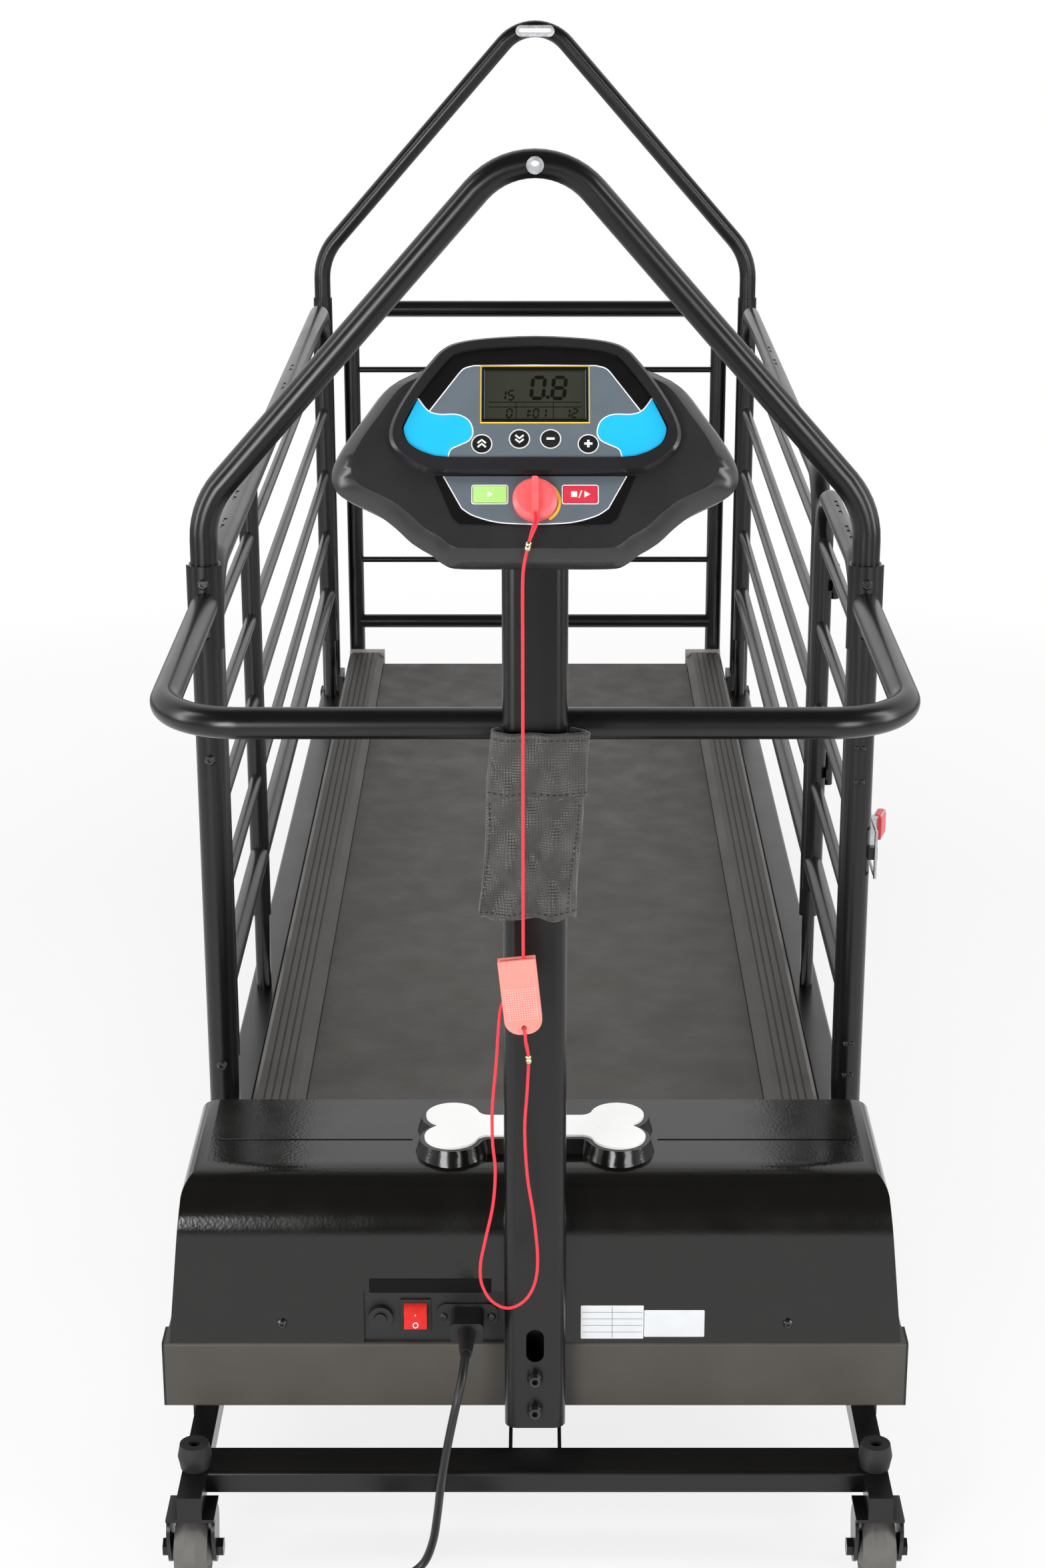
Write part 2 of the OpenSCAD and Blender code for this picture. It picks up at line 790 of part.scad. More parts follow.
// Deck, belt and rails
module deck_board() {
    color("#2b2622") translate([-deck_w / 2, deck_front, deck_top - deck_t])
        cube([deck_w, deck_back - deck_front, deck_t]);
}

module belt_loop(y0, y1, z, r) {
    translate([y0, z]) circle(r);
    translate([y1, z]) circle(r);
    translate([y0, z - r]) square([y1 - y0, 2 * r]);
}

module running_belt() {
    color("#2a2a2b") along_x(-belt_w / 2, belt_w) difference() {
        belt_loop(front_roller_y, rear_roller_y, roller_z, roller_r + gap + belt_t);
        belt_loop(front_roller_y, rear_roller_y, roller_z, roller_r + gap);
    }
}

module rail_section() {
    bevel = rail_h * rail_bevel_share;
    difference() {
        polygon([[rail_x, deck_top], [rail_x, deck_top + rail_h - 2 * bevel],
            [rail_x + 2 * bevel, deck_top + rail_h], [rail_x + rail_w - bevel, deck_top + rail_h],
            [rail_x + rail_w, deck_top + rail_h - bevel], [rail_x + rail_w, deck_top - rail_skirt],
            [rail_x + rail_w - rail_wall, deck_top - rail_skirt], [rail_x + rail_w - rail_wall, deck_top]]);
        for (i = [1:groove_count])
            translate([rail_x + 2 * bevel + i * (rail_w - 3 * bevel) / (groove_count + 1) - groove_w / 2,
                deck_top + rail_h - groove_d]) square([groove_w, groove_d + over]);
    }
}

module side_rails() {
    color("#343436") both_sides() along_y(deck_front, rail_back - deck_front) rail_section();
}

module rail_end_caps() {
    h = rail_h + rail_skirt;
    color("#3c3c3e") both_sides()
        along_x(rail_x, rail_w) translate([rail_back + rail_cap_l / 2, deck_top + rail_h - h / 2]) union() {
                rounded(rail_cap_l, h, rail_cap_round);
                translate([-rail_cap_l / 2, -h / 2]) square([rail_cap_l / 2, h]);
            }
}

module steel_shafts() {
    color("#b9bbbd") {
        for (y = [front_roller_y, rear_roller_y]) rod_x(-inner_x, inner_x, y, roller_z, shaft_r);
        reach = arm_x + arm_w / 2 + gap + hanger_t;
        rod_x(-reach, reach, pivot_y, pivot_z, pivot_r);
        pin = lift_box[0] / 2 + gap + lift_ear_t;
        rod_x(-pin, pin, lift_y, lift_axis_z, lift_pin_r);
    }
}

// Drive
module drive_motor() {
    color("#3a3b3d") difference() {
        union() {
            rod_x(motor_x - motor_l, motor_x, motor_y, motor_z, motor_r);
            for (i = [0:fin_count - 1]) rod_x(motor_x - motor_l / 2 + (i - fin_count / 2) * 2 * fin_t,
                    motor_x - motor_l / 2 + (i - fin_count / 2) * 2 * fin_t + fin_t,
                    motor_y, motor_z, motor_r + fin_h);
            translate([motor_x - motor_l / 2 - motor_foot_l / 2, motor_y - motor_foot_w / 2,
                frame_z + tray_t])
                cube([motor_foot_l, motor_foot_w, motor_z - frame_z - tray_t]);
        }
        rod_x(motor_x - motor_l - over, motor_x - motor_l + motor_socket, motor_y, motor_z,
            motor_shaft_r + run_fit);
    }
}

module motor_pulley() {
    color("#8d9093") {
        rod_x(pulley_x - pulley_w / 2, pulley_x + pulley_w / 2, motor_y, motor_z, small_pulley_r);
        rod_x(pulley_x, motor_x - motor_l + motor_socket - over, motor_y, motor_z, motor_shaft_r);
    }
}

module wrap(a, ra, b, rb) {
    way = atan2(b[1] - a[1], b[0] - a[0]);
    lean = acos((ra - rb) / norm(b - a));
    translate(a) circle(ra);
    translate(b) circle(rb);
    polygon([for (s = [1, -1]) a + ra * [cos(way + s * lean), sin(way + s * lean)],
        for (s = [-1, 1]) b + rb * [cos(way + s * lean), sin(way + s * lean)]]);
}

module drive_belt() {
    a = [motor_y, motor_z];
    b = [front_roller_y, roller_z];
    color("#1d1d1e") along_x(pulley_x - drive_belt_w / 2, drive_belt_w) difference() {
        wrap(a, small_pulley_r + gap + drive_belt_t, b, big_pulley_r + gap + drive_belt_t);
        wrap(a, small_pulley_r + gap, b, big_pulley_r + gap);
    }
}

module controller_box() {
    y = front_y + tube_w + panel_lap;
    color("#55585b") {
        difference() {
            translate([controller_x, y, frame_z + tray_t]) cube(controller_size);
            translate([controller_x + controller_wall, y + controller_wall, frame_z + tray_t - over])
                cube(controller_size - [2 * controller_wall, 2 * controller_wall, controller_wall - over]);
        }
        for (i = [0:controller_fin_count - 1])
            translate([controller_x + (i + 0.5) * controller_size[0] / controller_fin_count, y,
                frame_z + tray_t + controller_size[2]])
                cube([controller_fin_t, controller_size[1], controller_fin_h]);
    }
}

module roller(y, r, l, bore) {
    difference() {
        rod_x(-l / 2, l / 2, y, roller_z, r);
        rod_x(-l / 2 - over, l / 2 + over, y, roller_z, bore);
    }
}

module front_roller() {
    color("#9a9c9e") difference() {
        union() {
            rod_x(pulley_x, roller_l / 2, front_roller_y, roller_z, roller_r);
            rod_x(pulley_x - pulley_w / 2, pulley_x + pulley_w / 2, front_roller_y, roller_z, big_pulley_r);
        }
        rod_x(-frame_w / 2, frame_w / 2, front_roller_y, roller_z, shaft_r + run_fit);
    }
}

module rear_roller() {
    color("#9a9c9e") roller(rear_roller_y, roller_r, roller_l, shaft_r + run_fit);
}

// Motor hood and what sits on it
module hood_profile(inset, drop) {
    translate([hood_y + hood_round, hood_top - hood_round]) circle(hood_round - inset);
    polygon([[hood_y + inset, hood_z - drop], [hood_y + inset, hood_top - hood_round],
        [hood_y + hood_round, hood_top - inset], [crest_y - inset / 2, hood_top - inset],
        [hood_back - inset, hood_gap_z], [hood_back - inset, hood_z - drop]]);
}

module hood_front_view(inset, drop) {
    r = hood_corner;
    draft = (hood_w - hood_top_w) / 2 / hood_h;
    shoulder = hood_top_w / 2 + draft * r;
    for (s = [-1, 1]) translate([s * (shoulder - r), hood_top - r]) circle(r - inset);
    polygon([[-hood_w / 2 + inset - draft * drop, hood_z - drop], [-shoulder + inset, hood_top - r],
        [-shoulder + r, hood_top - inset], [shoulder - r, hood_top - inset],
        [shoulder - inset, hood_top - r], [hood_w / 2 - inset + draft * drop, hood_z - drop]]);
}

module hood_form(inset, drop) {
    intersection() {
        along_x(-hood_w, 2 * hood_w) hood_profile(inset, drop);
        along_y(hood_y + inset, hood_back - hood_y - 2 * inset) hood_front_view(inset, drop);
    }
}

lobe_x = bone_l / 2 - bone_lobe_r;
lobe_y = bone_w / 2 - bone_lobe_r;
neck_y = bone_shank / 2 + bone_fillet;
neck_x = lobe_x - sqrt(pow(bone_lobe_r + bone_fillet, 2) - pow(neck_y - lobe_y, 2));

// Rounds the corners between the bone's lobes and its shank
module bone_necks(h, r1, r2) {
    for (x = [0, 1], y = [0, 1]) mirror([x, 0, 0]) mirror([0, y, 0]) difference() {
        linear_extrude(h) polygon([[lobe_x, 0], [neck_x, 0], [neck_x, neck_y], [lobe_x, lobe_y]]);
        translate([neck_x, neck_y, -over]) cylinder(h = h + 2 * over, r1 = r1, r2 = r2);
    }
}

module bone_boss() {
    h = bone_h + hood_wall / 2;
    translate([0, bone_y, hood_top - hood_wall / 2]) {
        for (x = [-1, 1], y = [-1, 1]) translate([x * lobe_x, y * lobe_y, 0])
            cylinder(h = h, r1 = bone_lobe_r + bone_skirt, r2 = bone_lobe_r + bone_edge);
        along_x(-lobe_x, 2 * lobe_x)
            polygon([[-bone_shank / 2 - bone_skirt, 0], [-bone_shank / 2 - bone_edge, h],
                [bone_shank / 2 + bone_edge, h], [bone_shank / 2 + bone_skirt, 0]]);
        bone_necks(h, bone_fillet - bone_skirt, bone_fillet - bone_edge);
    }
}

module hood() {
    crease_x0 = bone_l / 2 + bone_skirt + crease_w;
    crease_x1 = hood_top_w / 2 - crease_in;
    color("#1e1e20") {
        difference() {
            hood_form(0, 0);
            hood_form(hood_wall, over);
            translate([-hood_w / 2 + 2 * hood_wall, crest_y, hood_z - over])
                cube([hood_w - 4 * hood_wall, hood_back - crest_y + over, hood_gap_z - hood_z + over]);
            translate([window_x0, hood_y - over, hood_z - over])
                cube([window_x1 - window_x0, hood_wall + 2 * over, window_h + over]);
            for (s = [-1, 1]) rod_x(s > 0 ? crease_x0 : -crease_x1, s > 0 ? crease_x1 : -crease_x0,
                bone_y, hood_top + crease_w / 2 - crease_d, crease_w / 2);
        }
        bone_boss();
    }
}

module bone_outline() {
    notch_x = lobe_x + sqrt(pow(bone_lobe_r + bone_notch, 2) - pow(lobe_y, 2));
    for (x = [-1, 1], y = [-1, 1]) translate([x * lobe_x, y * lobe_y]) circle(bone_lobe_r);
    square([2 * lobe_x, bone_shank], center = true);
    for (x = [-1, 1]) difference() {
        polygon([[x * lobe_x, lobe_y], [x * notch_x, 0], [x * lobe_x, -lobe_y]]);
        translate([x * notch_x, 0]) circle(bone_notch);
    }
}

module bone_plate() {
    color("#f2f2f0") translate([0, bone_y, hood_top + bone_h]) {
        linear_extrude(plate_t) bone_outline();
        bone_necks(plate_t, bone_fillet, bone_fillet);
    }
}

panel_y = hood_y + hood_wall;

module inlet_panel() {
    color("#1a1a1b") {
        difference() {
            translate([window_x0 - panel_lap, panel_y, hood_z])
                cube([window_x1 - window_x0 + 2 * panel_lap, panel_t, window_h + panel_lap]);
            along_y(panel_y - over, panel_t + 2 * over) union() {
                translate([inlet_x, inlet_z]) square([inlet_w, inlet_h], center = true);
                translate([rocker_x, inlet_z])
                    square([rocker_w + 2 * gap, 2 * (rocker_r + gap)], center = true);
                translate([breaker_x, inlet_z]) circle(breaker_r + gap);
            }
        }
        along_y(panel_y - bezel_t, bezel_t) translate([rocker_x, inlet_z]) difference() {
            square([bezel_w, bezel_h], center = true);
            square([rocker_w + 2 * gap, 2 * (rocker_r + gap)], center = true);
        }
        along_y(panel_y - breaker_collar_t, breaker_collar_t) translate([breaker_x, inlet_z])
            ring(breaker_collar_r, breaker_collar_r - breaker_r - gap);
    }
}

module rocker() {
    color("#d3171c") translate([rocker_x, panel_y, inlet_z]) rotate([rocker_tilt, 0, 0])
        along_x(-rocker_w / 2, rocker_w) intersection() {
            circle(rocker_r);
            polygon([[rocker_r / 2, -rocker_r], [rocker_r / 2, rocker_r], [-rocker_r, rocker_r],
                [-rocker_cut, 0], [-rocker_r, -rocker_r]]);
        }
}

module breaker_button() {
    color("#151515") rod_y(breaker_x, panel_y - breaker_collar_t - breaker_out / 2,
        panel_y + panel_t + breaker_out, inlet_z, breaker_r);
}

module power_inlet() {
    color("#161616") difference() {
        union() {
            along_y(panel_y - flange_t, flange_t) translate([inlet_x, inlet_z])
                rounded(flange_w, flange_h, flange_h / 3);
            along_y(panel_y - over / 2, inlet_deep) translate([inlet_x, inlet_z])
                square([inlet_w, inlet_h], center = true);
        }
        along_y(panel_y - flange_t - over, inlet_deep - 2 * panel_t) translate([inlet_x, inlet_z])
            square([inlet_w - 2 * panel_t, inlet_h - 2 * panel_t], center = true);
        for (s = [-1, 1]) rod_y(inlet_x + s * screw_pitch / 2, panel_y - flange_t - over, panel_y + over,
            inlet_z, screw_r);
    }
}

// Mast and its fabric cover
module mast() {
    top = console_z + console_h / 2;
    color("#222224") difference() {
        translate([0, mast_y + mast_d / 2, mast_z]) linear_extrude(top - mast_z)
            box_section(mast_w, mast_d, mast_round, mast_wall);
        along_y(mast_y - over, mast_d / 2) translate([0, mast_hole_z])
            rounded(mast_hole_w, mast_hole_h, mast_hole_w / 2);
        on_console() translate([-console_w, -console_w, -console_d])
            cube([2 * console_w, 2 * console_w, console_h]);
    }
}

// The cover's front bulges between its stitched edges and hangs in slack folds
function cover_depth(u, v) = let (edge = 1 - pow(2 * u - 1, 6)) (v < cover_flap_share ? cover_flap_t : 0)
    + cover_t * (0.45 + 0.55 * edge * sin(180 * min(1, v + 0.15)))
    + cover_fold * edge * v * sin(540 * u + 220 * v);
function cover_point(i, j, back) = let (u = i / cover_cols, v = j / cover_rows)
    [(u - 0.5) * cover_w - cover_lean * v, mast_y - gap - (back ? 0 : cover_depth(u, v)),
        cover_top - v * cover_h];

module mast_cover() {
    n = cover_cols + 1;
    count = n * (cover_rows + 1);
    pts = [for (b = [0, 1], j = [0:cover_rows], i = [0:cover_cols]) cover_point(i, j, b == 1)];
    sheet = [for (j = [0:cover_rows - 1], i = [0:cover_cols - 1], h = [0, 1])
        let (p = j * n + i) h == 0 ? [p, p + 1, p + n] : [p + 1, p + n + 1, p + n]];
    rim = concat([for (i = [0:cover_cols]) i], [for (j = [1:cover_rows]) j * n + cover_cols],
        [for (i = [cover_cols - 1:-1:0]) cover_rows * n + i], [for (j = [cover_rows - 1:-1:1]) j * n]);
    m = len(rim);
    hem = [for (k = [0:m - 1], h = [0, 1]) let (a = rim[k], b = rim[(k + 1) % m])
        h == 0 ? [a, a + count, b] : [b, a + count, b + count]];
    back = [for (f = sheet) [f[0] + count, f[2] + count, f[1] + count]];
    color("#262627") {
        polyhedron(pts, concat(sheet, hem, back));
        translate([0, mast_y + mast_d / 2, strap_top - strap_h]) linear_extrude(strap_h) difference() {
                rounded(mast_w + 2 * (gap + strap_t), mast_d + 2 * (gap + strap_t), mast_round + strap_t);
                rounded(mast_w + 2 * gap, mast_d + 2 * gap, mast_round);
                translate([-mast_w, -mast_d - gap - mast_d / 2]) square([2 * mast_w, mast_d]);
            }
    }
}

// Console
function levels(shares, z0, z1) = [for (l = shares) [z0 + l[0] * (z1 - z0), l[1]]];
function console_ring(half_shares, steps) = smooth_ring(sized(mirrored(half_shares)), steps);

module shell_form() {
    lofted(console_ring(shell_half_shares, 3), levels(shell_round_shares, 0, console_d));
}

module bar_key_places() {
    for (s = [-1, 1])
        translate([s * bar_key_shares[0] * console_w, bar_key_shares[1] * console_h, 0]) children();
}

module console_shell() {
    color("#1d1d1f") on_console() difference() {
        shell_form();
        bar_key_places() translate([0, 0, -key_stem - key_travel - gap])
            linear_extrude(key_stem + key_travel + gap + over)
                square([bar_key_w + 2 * gap, bar_key_h + 2 * gap], center = true);
    }
}

bezel_floor = bezel_h_out - bezel_pocket;

module round_key_place(i) {
    translate([round_key_shares[i][0] * console_w, round_key_shares[i][1] * console_h, 0]) children();
}

module console_bezel() {
    color("#161617") on_console() difference() {
        lofted(console_ring(bezel_half_shares, 3), levels(bezel_edge_shares, -bezel_skirt, bezel_h_out));
        shell_form();
        translate([0, 0, bezel_floor]) linear_extrude(bezel_pocket + over)
            polygon(console_ring(panel_half_shares, 2));
        translate([-lcd_w / 2 - lcd_lip, lcd_share * console_h - lcd_h / 2 - lcd_lip, bezel_floor - lcd_t])
            cube([lcd_w + 2 * lcd_lip, lcd_h + 2 * lcd_lip, lcd_t + over]);
        for (i = [0:3]) round_key_place(i) translate([0, 0, bezel_floor - key_stem - key_travel - gap])
            cylinder(h = key_stem + key_travel + gap + over, r = key_r + gap);
    }
}

module face_panels() {
    color("#5c6066") on_console() {
        translate([0, 0, bezel_floor]) linear_extrude(face_t) difference() {
            scale(panel_fit_share) polygon(console_ring(panel_half_shares, 2));
            translate([0, lcd_share * console_h]) square([lcd_w, lcd_h], center = true);
            for (i = [0:3]) round_key_place(i) circle(key_r + gap);
        }
        linear_extrude(face_t) difference() {
            polygon(sized(mirrored(key_panel_half_shares)));
            bar_key_places() square([bar_key_w + 2 * gap, bar_key_h + 2 * gap], center = true);
        }
    }
}

module display() {
    color("#6f7466") on_console()
        translate([-lcd_w / 2 - lcd_lip, lcd_share * console_h - lcd_h / 2 - lcd_lip, bezel_floor - lcd_t])
            cube([lcd_w + 2 * lcd_lip, lcd_h + 2 * lcd_lip, lcd_t]);
}

module round_key(i) {
    color("#101011") on_console() round_key_place(i) translate([0, 0, bezel_floor - key_stem])
        cylinder(h = key_stem + face_t + key_proud, r = key_r);
}

module bar_key(side, tint) {
    color(tint) on_console()
        translate([side * bar_key_shares[0] * console_w, bar_key_shares[1] * console_h, -key_stem])
            linear_extrude(key_stem + face_t + key_proud) square([bar_key_w, bar_key_h], center = true);
}

module safety_key() {
    grip_l = 2 * safety_r * safety_grip_share;
    color("#e0262b") on_console() translate([0, safety_share * console_h, face_t + gap]) difference() {
        union() {
            cylinder(h = safety_step, r = safety_r);
            translate([0, 0, safety_step])
                cylinder(h = safety_bevel, r1 = safety_r, r2 = safety_r - safety_bevel);
            translate([0, 0, safety_t]) linear_extrude(safety_grip_h)
                rounded(safety_grip_w, grip_l, safety_grip_w / 3);
        }
        translate([0, -grip_l / 2 + 2 * safety_eye_r, safety_t + safety_grip_h / 2]) rotate([0, 90, 0])
            cylinder(h = 2 * safety_r, r = safety_eye_r, center = true);
    }
}

// Tether cord and its two-jaw clip
module tether_cord() {
    color("#d8232a") swept(smooth_path(tether_points, tether_steps), tether_r, tether_sides);
}

module on_clip() {
    translate(clip_c) rotate([0, -clip_tilt, 0]) children();
}

module jaw_outline() {
    translate([0, clip_round / 2]) square([clip_w, clip_l - clip_round], center = true);
    translate([0, -clip_l / 2 + clip_round]) square([clip_w - 2 * clip_round, 2 * clip_round], center = true);
    for (s = [-1, 1]) translate([s * (clip_w / 2 - clip_round), -clip_l / 2 + clip_round])
        circle(clip_round);
}

clip_hinge_z = (clip_hinge_share - 0.5) * clip_l;

module hinge_rods(more, r) {
    for (s = [-1, 1]) rod_x(s * clip_lug_x - clip_lug_w / 2 - more, s * clip_lug_x + clip_lug_w / 2 + more,
        -clip_space / 2, clip_hinge_z, r);
}

module tether_clip() {
    color("#e8524f") on_clip() difference() {
        union() {
            along_y(clip_space / 2, clip_t) jaw_outline();
            hinge_rods(0, clip_barrel_r);
            for (s = [-1, 1])
                translate([s * clip_lug_x - clip_lug_w / 2, -clip_space / 2, clip_hinge_z - clip_barrel_r / 2])
                    cube([clip_lug_w, clip_space + weld, clip_barrel_r]);
        }
        rod_y(0, 0, clip_space + clip_t + over, -clip_l / 2 + 2 * clip_hole_r + over, clip_hole_r);
    }
}

module clip_jaw() {
    color("#ee6a62") on_clip() difference() {
        along_y(-clip_space / 2 - clip_t, clip_t) jaw_outline();
        rod_y(0, -clip_space - clip_t, 0, -clip_l / 2 + 2 * clip_hole_r + over, clip_hole_r);
        hinge_rods(gap, clip_barrel_r + run_fit);
    }
}

// Posts and arches
module posts() {
    color("#1c1c1e") both_sides() {
        difference() {
            upright(post_x, post_y, frame_top, post_top, post_r);
            upright(post_x, post_y, frame_top - over, post_top + over, post_bore);
        }
        difference() {
            upright(post_x, rear_post_y, frame_top, rear_post_top, rear_post_r);
            upright(post_x, rear_post_y, frame_top - over, rear_post_top + over, rear_post_bore);
        }
    }
}

function arch_points(foot) = [[-post_x, foot], [-post_x, arch_corner_z],
    [0, arch_corner_z + post_x * tan(arch_slope)], [post_x, arch_corner_z], [post_x, foot]];
function eyelet_z() = peak_z(rear_peak_bend) - eyelet_drop;
function peak_z(bend) = arch_corner_z + post_x * tan(arch_slope) - bend * (1 / cos(arch_slope) - 1);

function bend_points(a, b, c, bend, steps) = let (t = turn(a, b, c), way = unit(b - a),
    start = b - way * setback(a, b, c, bend),
    middle = start + bend * sign(t) * [-way[1], way[0]], arm = start - middle)
    [for (k = [0:steps]) let (q = t * k / steps)
        middle + [arm[0] * cos(q) - arm[1] * sin(q), arm[0] * sin(q) + arm[1] * cos(q)]];
function arch_line(p, peak_bend) = concat([p[0]], bend_points(p[0], p[1], p[2], arch_bend, arch_steps),
    bend_points(p[1], p[2], p[3], peak_bend, 2 * arch_steps),
    bend_points(p[2], p[3], p[4], arch_bend, arch_steps), [p[4]]);

module arch(y, foot, r, peak_bend) {
    swept([for (q = arch_line(arch_points(foot), peak_bend)) [q[0], y, q[1]]], r, arch_sides);
}

module front_arch() {
    color("#1c1c1e") difference() {
        arch(post_y, post_top - arch_in, arch_r, arch_peak_bend);
        rod_y(0, post_y - 2 * arch_r, post_y + 2 * arch_r, peak_z(arch_peak_bend), fitting_w / 2 + seat_fit);
    }
}

module rear_arch() {
    color("#1c1c1e") difference() {
        arch(rear_post_y, rear_post_top - arch_in, rear_arch_r, rear_peak_bend);
        along_y(rear_post_y - 2 * rear_arch_r, 4 * rear_arch_r) translate([0, eyelet_z()])
            rounded(eyelet_l + 2 * seat_fit, eyelet_h + 2 * seat_fit, eyelet_h / 2 + seat_fit);
    }
}

module arch_eyelets() {
    color("#c9cbcd") {
        difference() {
            rod_y(0, post_y - arch_r - fitting_out, post_y + arch_r + fitting_out,
                peak_z(arch_peak_bend), fitting_w / 2);
            rod_y(0, post_y - 2 * arch_r, post_y + 2 * arch_r, peak_z(arch_peak_bend), leash_bore_r);
        }
        along_y(rear_post_y - rear_arch_r - fitting_out, 2 * (rear_arch_r + fitting_out))
            translate([0, eyelet_z()]) difference() {
                rounded(eyelet_l, eyelet_h, eyelet_h / 2);
                rounded(eyelet_l - 2 * eyelet_wall, eyelet_h - 2 * eyelet_wall, eyelet_h / 2 - eyelet_wall);
            }
    }
}

// Guards
module guard_bar() {
    color("#1c1c1e") {
        translate([0, 0, guard_z]) bent_tube([[-post_x, guard_end_y], [-post_x, guard_y],
            [post_x, guard_y], [post_x, guard_end_y]], guard_r, fence_wall, guard_bend);
        for (s = [-1, 1]) intersection() {
            translate([s * post_x, post_y, post_top - saddle_h]) difference() {
                cylinder(h = saddle_h, r = post_r + seat_fit + saddle_t);
                translate([0, 0, -over]) cylinder(h = saddle_h + 2 * over, r = post_r + seat_fit);
            }
            translate([s * post_x - post_r * 2, post_y - post_r * 2, 0])
                cube([post_r * 4, post_r * 2 * (1 - saddle_share / 2), post_top + over]);
        }
    }
}

function rear_bar_z(i) = rear_low_z + i * rear_bar_pitch;

module rear_guard() {
    reach = rear_guard_x - sqrt(pow(rear_guard_r, 2) - pow(rear_bar_r, 2)) + weld;
    low_reach = rear_guard_x - sqrt(pow(rear_guard_r, 2) - pow(rear_low_r, 2)) + weld;
    color("#1c1c1e") {
        translate([0, rear_guard_y, 0]) rotate([90, 0, 0])
            bent_tube([[-rear_guard_x, frame_top], [-rear_guard_x, rear_guard_z],
                [rear_guard_x, rear_guard_z], [rear_guard_x, frame_top]], rear_guard_r, fence_wall,
                rear_guard_bend);
        for (i = [1:rear_bar_count]) rod_x(-reach, reach, rear_guard_y, rear_bar_z(i), rear_bar_r);
        rod_x(-low_reach, low_reach, rear_guard_y, rear_low_z, rear_low_r);
    }
}

// Side panels
function bar_z(i) = low_bar_z + i * bar_pitch;

// Bars between two stiles, sunk into the tube walls
module panel_bars(y0, y1, r) {
    for (i = [0:bar_count]) {
        bar = i == 0 ? min(low_bar_r, r - weld) : bar_r;
        sink = sqrt(pow(r, 2) - pow(bar, 2)) - weld;
        rod_y(post_x, y0 + sink, y1 - sink, bar_z(i), bar);
    }
}

module panel_frame(y0, y1, r, foot) {
    translate([post_x, 0, 0]) rotate([90, 0, 90])
        bent_tube([[y0, foot], [y0, top_rail_z], [y1, top_rail_z], [y1, foot]], r, fence_wall, panel_bend);
    for (y = [y0, y1]) {
        upright(post_x, y, frame_top, foot + over, min(spigot_r, r - 2 * fence_wall));
        upright(post_x, y, foot, foot + spigot_r, r - fence_wall);
    }
}

module rail_slots(y0, y1, r) {
    for (s = slot_shares, k = [0, 1])
        translate([post_x - slot_w / 2, y0 + s * (y1 - y0) + k * (slot_l + slot_step),
            top_rail_z + r - fence_wall / 2])
            cube([slot_w, slot_l, fence_wall]);
}

module left_panel() {
    color("#202022") mirror([1, 0, 0]) difference() {
        union() {
            panel_frame(panel_front_y, panel_back_y, stile_r, stile_foot);
            panel_bars(panel_front_y, panel_back_y, stile_r);
            upright(post_x, mid_y, stile_foot, top_rail_z - sqrt(pow(stile_r, 2) - pow(door_r, 2)), door_r);
            upright(post_x, mid_y, frame_top, stile_foot + over, spigot_r);
        }
        rail_slots(panel_front_y, panel_back_y, stile_r);
    }
}

module right_panel() {
    color("#202022") difference() {
        union() {
            panel_frame(mid_y, panel_back_y, door_r, stile_foot);
            panel_bars(mid_y, panel_back_y, door_r);
        }
        rail_slots(mid_y, panel_back_y, door_r);
    }
}

// Door, hinges and latch
function hinge_z(i) = low_bar_z + hinge_shares[i] * (top_rail_z - low_bar_z);

module knuckle(z, side, count) {
    h = hinge_knuckle - gap;
    for (k = count) translate([0, 0, z + k * hinge_knuckle]) {
        translate([hinge_x, hinge_y, 0]) cylinder(h = h, r = hinge_r, center = true);
        translate([door_outer, side > 0 ? hinge_y : hinge_y - hinge_leaf_l, -h / 2])
            cube([hinge_leaf_t, hinge_leaf_l, h]);
    }
}

module door_hinges() {
    color("#2b2b2d") for (i = [0, 1]) {
        difference() {
            knuckle(hinge_z(i), 1, [-1, 1]);
            upright(hinge_x, hinge_y, frame_top, post_top, hinge_pin_r);
        }
        upright(hinge_x, hinge_y, hinge_z(i) - 1.5 * hinge_knuckle, hinge_z(i) + 1.5 * hinge_knuckle,
            hinge_pin_r);
    }
}

module door() {
    color("#202022") {
        difference() {
            union() {
                translate([post_x, 0, 0]) rotate([90, 0, 90])
                    bent_tube([[door_front_y, door_foot], [door_front_y, top_rail_z],
                        [door_back_y, top_rail_z], [door_back_y, door_foot]], door_r, fence_wall, panel_bend);
                panel_bars(door_front_y, door_back_y, door_r);
            }
            rail_slots(door_front_y + panel_bend, door_back_y - panel_bend, door_r);
        }
        for (i = [0, 1]) difference() {
            knuckle(hinge_z(i), -1, [0]);
            upright(hinge_x, hinge_y, frame_top, post_top, hinge_pin_r + run_fit);
            upright(post_x, door_back_y, door_foot, top_rail_z, door_r);
        }
    }
}

module latch_keeper() {
    color("#1a1a1b") difference() {
        translate([post_x, post_y - keeper_l, latch_z - keeper_w / 2])
            cube([latch_axis_x + loop_r + over / 2 - post_x, keeper_l, keeper_w]);
        upright(post_x, post_y, latch_z - keeper_w, latch_z + keeper_w, post_r);
    }
}

